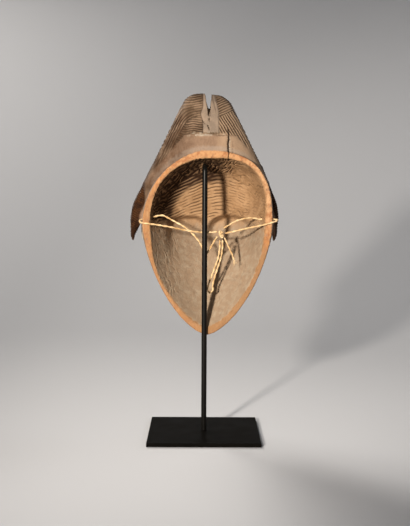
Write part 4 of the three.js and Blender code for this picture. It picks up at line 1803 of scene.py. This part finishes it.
def even_path(route: np.ndarray, count: int) -> np.ndarray:
    """Smooth curve through points, with even steps.

    Args:
        route: The points, in millimetres.
        count: How many places to return.

    Returns:
        Places along the curve.
    """
    points = np.concatenate([[2 * route[0] - route[1]], route, [2 * route[-1] - route[-2]]])
    line = []
    for i in range(len(route) - 1):
        p0, p1, p2, p3 = points[i : i + 4]
        d0, d1, d2 = (np.linalg.norm(b - a) ** 0.5 for a, b in ((p0, p1), (p1, p2), (p2, p3)))
        t1 = ((p1 - p0) / d0 - (p2 - p0) / (d0 + d1) + (p2 - p1) / d1) * d1
        t2 = ((p2 - p1) / d1 - (p3 - p1) / (d1 + d2) + (p3 - p2) / d2) * d1
        t = np.linspace(0, 1, 40, endpoint=False)[:, None]
        square, cube = -3 * p1 + 3 * p2 - 2 * t1 - t2, 2 * p1 - 2 * p2 + t1 + t2
        line.append(p1 + t1 * t + square * t**2 + cube * t**3)
    line = np.concatenate([*line, route[-1:]])
    along = np.concatenate([[0], np.cumsum(np.linalg.norm(np.diff(line, axis=0), axis=1))])
    steps = np.linspace(0, along[-1], count)
    return np.stack([np.interp(steps, along, line[:, i]) for i in range(3)], -1)


def path_length(line: np.ndarray) -> float:
    """Length of a line of places."""
    return float(np.linalg.norm(np.diff(line, axis=0), axis=1).sum())


@dataclass
class TwoPly:
    """Section of the cord: two plies laid round each other."""

    radius: float = 1.0
    lay: float = 7.5
    step: float = 0.5
    sides: int = 12

    def skin(self, route: np.ndarray) -> tuple[Skin, np.ndarray]:
        """Tube along a route with a waisted section that turns with the lay.

        Args:
            route: Given points, in millimetres.

        Returns:
            The closed skin and the line that it follows.
        """
        rough = even_path(route, 400)
        count = max(12, round(path_length(rough) / self.step))
        line = even_path(route, count)
        tangent = unit(np.gradient(line, axis=0))
        side = np.cross(tangent[0], (0.13, 0.2, 1.0))
        sides = []
        for direction in tangent:
            side = unit(side - direction * float(side @ direction))
            sides.append(side)
        side = np.array(sides)
        up = np.cross(tangent, side)
        angle = full_turn(self.sides)
        along = np.arange(count)[:, None] * self.step
        round_end = np.sqrt(np.clip(np.minimum(along, along[::-1]) / self.radius, 0.08, 1))
        twist = 2 * math.pi * along / self.lay / 2
        out = self.radius * round_end * (1.0 + 0.22 * np.cos(2 * (angle - twist)))
        rings = line[:, None] + out[..., None] * (
            np.cos(angle)[..., None] * side[:, None] + np.sin(angle)[..., None] * up[:, None])
        return Skin.wrapped(rings, line[0], line[-1]), line


@dataclass
class TieCord:
    """The cord tied across the hollow: a loop through each hole, one knot, a doubled tail and a cut tail."""

    finish: StrawCord = StrawCord()
    ply: TwoPly = field(default_factory=TwoPly)
    knot: tuple = (19.8, 7.6, 240.6)

    ROUTES: ClassVar[dict[str, list[tuple[float, float, float]]]] = {
        "cord_left": [
            (15.4, 6.8, 243.6), (9, 6, 243.1), (0.4, 5.4, 242.8), (-17.5, 4.6, 244.5), (-41.4, 3.5, 249.2),
            (-60, 2.2, 252.2), (-70, 1.6, 253.4), (-75.6, 1.9, 254.2), (-77.6, 4.4, 255.6),
            (-77.2, 7.2, 257.1), (-73, 10.2, 258.6), (-66, 13.9, 260), (-60.5, 16.4, 261.2),
            (-55.6, 17, 262.4), (-50.1, 16.2, 262.6), (-44.1, 15, 259.8), (-34, 13, 254.4),
            (-23.6, 11.2, 248.6), (-13, 9.2, 239.4), (-5.5, 7.8, 229.9), (-1.6, 7, 221.6),
            (1.9, 6.8, 217.6), (5.2, 6.8, 221.2), (10.4, 6.9, 230.4), (15.3, 7.1, 238.2),
        ],
        "cord_right": [
            (24.2, 6.8, 241.8), (32, 6, 243.4), (42.2, 4.8, 246), (54, 3.2, 248.8), (64, 2.1, 250.9),
            (73, 1.6, 253), (81, 1.4, 255.4), (86, 3, 257.2), (86.8, 6, 258.4), (83, 8.4, 258.7),
            (76, 12, 258.5), (69.6, 15.2, 258.5), (65, 16.4, 258.8), (58, 15.4, 260.2),
            (48.3, 13, 259.4), (37.5, 10.4, 256.4), (28, 8.8, 251), (22.6, 8, 247.8),
        ],
        "cord_loop": [
            (18.4, 8.2, 233.6), (18.2, 9, 224), (16.4, 10, 212), (12, 11, 199), (8, 11.6, 188),
            (4.7, 11.9, 178.4), (3.9, 12, 173), (6.9, 12, 169.6), (10.1, 12, 172.8), (10, 12, 178.6),
            (12.2, 11.8, 188), (15.6, 11.4, 199), (19.6, 10.4, 212), (21.5, 9.3, 224), (21.4, 8.4, 233.6),
        ],
        "cord_tail": [
            (23.8, 8.6, 236.6), (26.4, 10, 231), (29.6, 11.2, 224), (33.1, 12.2, 216.6),
            (35.6, 12.8, 209.4),
        ],
    }

    def wraps(self) -> Skin:
        """Turns of the knot: an upright bight held by two crossed wraps.

        Returns:
            All turns as one skin.
        """
        centre = np.array(self.knot)
        angle = np.linspace(0, 2 * math.pi, 13)
        cos, sin = np.cos(angle), np.sin(angle)
        turns = [np.stack([1.6 * cos - 1.1 * sin, 0.9 * np.sin(2 * angle), 3.6 * sin], -1)]
        for tilt, rise in ((0.55, 1.3), (-0.5, -1.5)):
            turns.append(np.stack([2.2 * cos, 2.3 * sin, rise + tilt * 2.2 * cos], -1))
        return Skin.joined([self.ply.skin(centre + turn)[0] for turn in turns])

    def frayed(self) -> Skin:
        """Loose fibres at the cut tail's end.

        Returns:
            All fibres as one skin.
        """
        rng = np.random.default_rng(8)
        end = np.array(self.ROUTES["cord_tail"][-1], float)
        fine = TwoPly(radius=0.14, lay=4, step=0.8, sides=5)
        fibres = []
        for _ in range(9):
            lean = np.array([rng.uniform(-0.3, 0.75), rng.uniform(-0.3, 0.2), -1.0])
            bend = np.array([rng.uniform(-1.2, 1.2), 0, rng.uniform(-0.5, 0.5)])
            length = rng.uniform(4, 8)
            points = [end + (0, 0, 1.2), end + lean * length * 0.5 + bend, end + lean * length]
            fibres.append(fine.skin(np.array(points))[0])
        return Skin.joined(fibres)

    def build(self) -> dict[str, bpy.types.Object]:
        """Returns:
            The pieces by name.
        """
        straw = self.finish.build()
        knot = self.wraps().placed("tie_knot")
        fray = self.frayed().placed("tail_fibres")
        pieces = {"tie_knot": knot, "tail_fibres": fray}
        lines = {}
        for node, route in self.ROUTES.items():
            skin, line = self.ply.skin(np.array(route, float))
            name = node.replace("cord", "tie")
            pieces[name] = skin.placed(name)
            lines[name] = (node, line)
        for piece in pieces.values():
            smooth_shaded(dressed(piece, straw))
            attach(piece, "root")
        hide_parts("cord_knot")
        for name, (node, line) in lines.items():
            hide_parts(node)
        return pieces


# Stand


@dataclass
class Stand:
    """Square plate with eased edges and a round rod bent forward at its top, both in black steel."""

    rod_finish: BlackSteel = BlackSteel()
    plate_finish: BlackSteel = BlackSteel("matt_black_painted_steel", gloss=0.004)
    side: float = 132
    thickness: float = 4.5
    edge: float = 0.5
    rod_radius: float = 3.2
    prong_z: float = 321.7
    prong_end_y: float = 30.7
    bend: float = 6.5

    def plate(self) -> bpy.types.Object:
        """Plate with its edges eased.

        Returns:
            The plate.
        """
        half, top = self.side / 2, self.thickness
        corners = [(-half, -half), (half, -half), (half, half), (-half, half)]
        points = np.array([(x, y, z) for z in (0.0, top) for x, y in corners])
        faces = [[3, 2, 1, 0], [4, 5, 6, 7], [0, 1, 5, 4], [1, 2, 6, 5], [2, 3, 7, 6], [3, 0, 4, 7]]
        plate = Skin(points, faces).placed("plate")
        ease_edges = plate.modifiers.new("eased", "BEVEL")
        ease_edges.width = self.edge * MM
        ease_edges.segments = 3
        return settled(plate)

    def rod_tree(self, steel: bpy.types.Material) -> bpy.types.NodeTree:
        """Node tree that bends a round bar along a cornered line.

        Args:
            steel: What the bar is made of.

        Returns:
            The tree, with the bar's radius and its bend's radius as inputs.
        """
        tree, given = sized_tree("bent_rod", ["Bar radius", "Bend radius"])
        line = add_node(tree, "GeometryNodeMeshToCurve", None, {"Mesh": given.outputs["Geometry"]})
        bent = add_node(tree, "GeometryNodeFilletCurve", {"mode": "POLY"}, {
            "Curve": line.outputs["Curve"], "Count": 16, "Radius": given.outputs["Bend radius"]})
        section = add_node(tree, "GeometryNodeCurvePrimitiveCircle", None, {
            "Resolution": 48, "Radius": given.outputs["Bar radius"]})
        bar = add_node(tree, "GeometryNodeCurveToMesh", None, {
            "Curve": bent.outputs["Curve"], "Profile Curve": section.outputs["Curve"], "Fill Caps": True})
        return end_tree(tree, bar.outputs["Mesh"], steel)

    def rod(self, steel: bpy.types.Material) -> bpy.types.Object:
        """Rod from the plate to the tip of its prong.

        Args:
            steel: What it is made of.

        Returns:
            The rod.
        """
        stops = [(0, 0, self.thickness), (0, 0, self.prong_z), (0, self.prong_end_y, self.prong_z)]
        mesh = bpy.data.meshes.new("rod")
        mesh.from_pydata([[c * MM for c in stop] for stop in stops], [(0, 1), (1, 2)], [])
        sizes = {"Bar radius": self.rod_radius, "Bend radius": self.bend}
        return run_tree(stood("rod", mesh), self.rod_tree(steel), sizes)

    def build(self) -> dict[str, bpy.types.Object]:
        """Make the plate and the rod.

        Returns:
            The pieces by name.
        """
        steel = self.rod_finish.build()
        pieces = {
            "plate": dressed(self.plate(), self.plate_finish.build()),
            "rod": dressed(self.rod(steel), steel),
        }
        smooth_shaded(pieces["rod"])
        for name, piece in pieces.items():
            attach(piece, "root")
            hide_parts(f"stand_{name}")
        return pieces


# Studio


@dataclass
class PhotoCamera:
    """Camera at the photograph's viewing angle, fitted to the plate's corners."""

    focal_px: float = 955
    x: float = -4.17
    distance: float = 1138.6
    z: float = 286.5
    pitch_deg: float = 4.022
    roll_deg: float = -0.293
    yaw_deg: float = -0.238

    def build(self) -> bpy.types.Object:
        """Place the camera and make it the scene's.

        Returns:
            The camera object.
        """
        pitch, roll, yaw = (math.radians(a) for a in (self.pitch_deg, self.roll_deg, self.yaw_deg))
        level = Vector((-math.sin(yaw), math.cos(yaw), 0))
        across = Vector((math.cos(yaw), math.sin(yaw), 0))
        forward = level * math.cos(pitch) - Vector((0, 0, math.sin(pitch)))
        up = level * math.sin(pitch) + Vector((0, 0, math.cos(pitch)))
        right = across * math.cos(roll) - up * math.sin(roll)
        top = across * math.sin(roll) + up * math.cos(roll)
        data = bpy.data.cameras.new("photo_camera")
        data.sensor_fit = "HORIZONTAL"
        data.sensor_width = 36
        data.lens = 36 * self.focal_px / IMAGE_WIDTH
        data.clip_start = 0.05
        camera = stood("photo_camera", data)
        turn = Matrix((right, top, -forward)).transposed().to_4x4()
        camera.matrix_world = Matrix.Translation(Vector((self.x, -self.distance, self.z)) * MM) @ turn
        bpy.context.scene.camera = camera
        return camera


@dataclass(frozen=True)
class Lamp:
    """A studio lamp: a round spot where it has a cone, and a square soft lamp otherwise."""

    name: str
    place: tuple[float, float, float]
    power: float
    size: float
    tint: str
    cone_deg: float = 0.0

    def light(self, aim: Vector) -> None:
        """Stand the lamp in its place.

        Args:
            aim: Where it points, in metres.
        """
        data = bpy.data.lights.new(self.name, "SPOT" if self.cone_deg else "AREA")
        data.energy = self.power
        data.color = linear(self.tint)[:3]
        if self.cone_deg:
            data.shadow_soft_size = self.size
            data.spot_size = math.radians(self.cone_deg)
            data.spot_blend = 0.9
        else:
            data.size = self.size
        lamp = stood(self.name, data)
        lamp.location = self.place
        lamp.rotation_euler = (aim - Vector(self.place)).to_track_quat("-Z", "Y").to_euler()


@dataclass
class Studio:
    """Pale floor that turns up into a backdrop all round, a key light over the left shoulder, soft fill."""

    lamps: tuple[Lamp, ...] = (
        Lamp("key", (-0.64, -1.72, 0.53), 272, 0.07, "#fff4e6", 34),
        Lamp("face_spot", (-1.0, 2.2, 1.5), 190, 0.35, "#fff6ea", 22),
        Lamp("fill", (1.4, -1.2, 1.3), 0.6, 1.2, "#f2f4ff"),
        Lamp("face_light", (-1.3, 2.4, 2.4), 55, 1.3, "#fff6ea"),
        Lamp("side_light", (2.9, 1.6, 1.9), 22, 1.3, "#f6f4f2"),
    )
    aim: tuple[float, float, float] = (0.0, 0.05, 0.27)
    floor_colour: str = "#c6c9cf"
    room_colour: str = "#e6e3de"
    room: float = 0.05
    flat_radius: float = 0.9
    sweep_radius: float = 3.1
    wall_height: float = 3.6

    def floor(self) -> bpy.types.Object:
        """Pale round floor that curves up into a wall, with no horizon.

        Returns:
            The floor.
        """
        turn = np.linspace(0, math.pi / 2, 24)
        sweep = self.flat_radius + self.sweep_radius * np.sin(turn)
        radius = np.concatenate([[self.flat_radius * 0.5], sweep, sweep[-1:]])[:, None]
        z = np.concatenate([[0.0], self.sweep_radius * (1 - np.cos(turn)), [self.wall_height]])[:, None]
        count = 96
        angle = full_turn(count)
        rings = np.stack(np.broadcast_arrays(radius * np.cos(angle), radius * np.sin(angle), z), -1)
        points = np.concatenate([[[0, 0, 0]], rings.reshape(-1, 3)]) / MM
        ids = 1 + np.arange(len(z) * count).reshape(len(z), count)
        after = np.roll(ids, -1, axis=1)
        quads = np.stack([ids[:-1], ids[1:], after[1:], after[:-1]], -1).reshape(-1, 4)
        middle = np.stack([np.zeros_like(ids[0]), ids[0], after[0]], -1)
        floor = Skin(points, quads.tolist() + middle.tolist()).placed("floor")
        smooth_shaded(floor)
        material, tree = fresh_material("pale_matt_paper")
        shader = add_node(tree, "ShaderNodeBsdfPrincipled", None, {
            "Base Color": self.floor_colour, "Roughness": 0.9})
        add_node(tree, "ShaderNodeOutputMaterial", None, {"Surface": shader.outputs[0]})
        dressed(floor, material)
        return floor

    def build(self) -> None:
        """Set up the floor, the lamps, the room's light and the view's colour transform."""
        self.floor()
        for lamp in self.lamps:
            lamp.light(Vector(self.aim))
        world = bpy.data.worlds.new("room")
        world.use_nodes = True
        ground = world.node_tree.nodes["Background"]
        ground.inputs["Color"].default_value = linear(self.room_colour)
        ground.inputs["Strength"].default_value = self.room
        scene = bpy.context.scene
        scene.world = world
        scene.view_settings.view_transform = "Standard"


def corners(box: tuple) -> list[list[float]]:
    """A box's lowest and highest corners as plain lists."""
    return [[float(value) for value in corner] for corner in box]


def main() -> None:
    """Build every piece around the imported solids, in order."""
    logging.basicConfig(level=logging.INFO, format="%(name)s: %(message)s")
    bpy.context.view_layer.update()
    PhotoCamera().build()
    for name in TieCord().build():
        log.info("piece %s", name)
    for name in Stand().build():
        log.info("piece %s", name)
    mask = Mask().build()
    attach(mask, "root")
    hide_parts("mask")
    log.info("piece %s: %d faces", mask.name, len(mask.data.polygons))
    Studio().build()


if __name__ == "__main__":
    main()
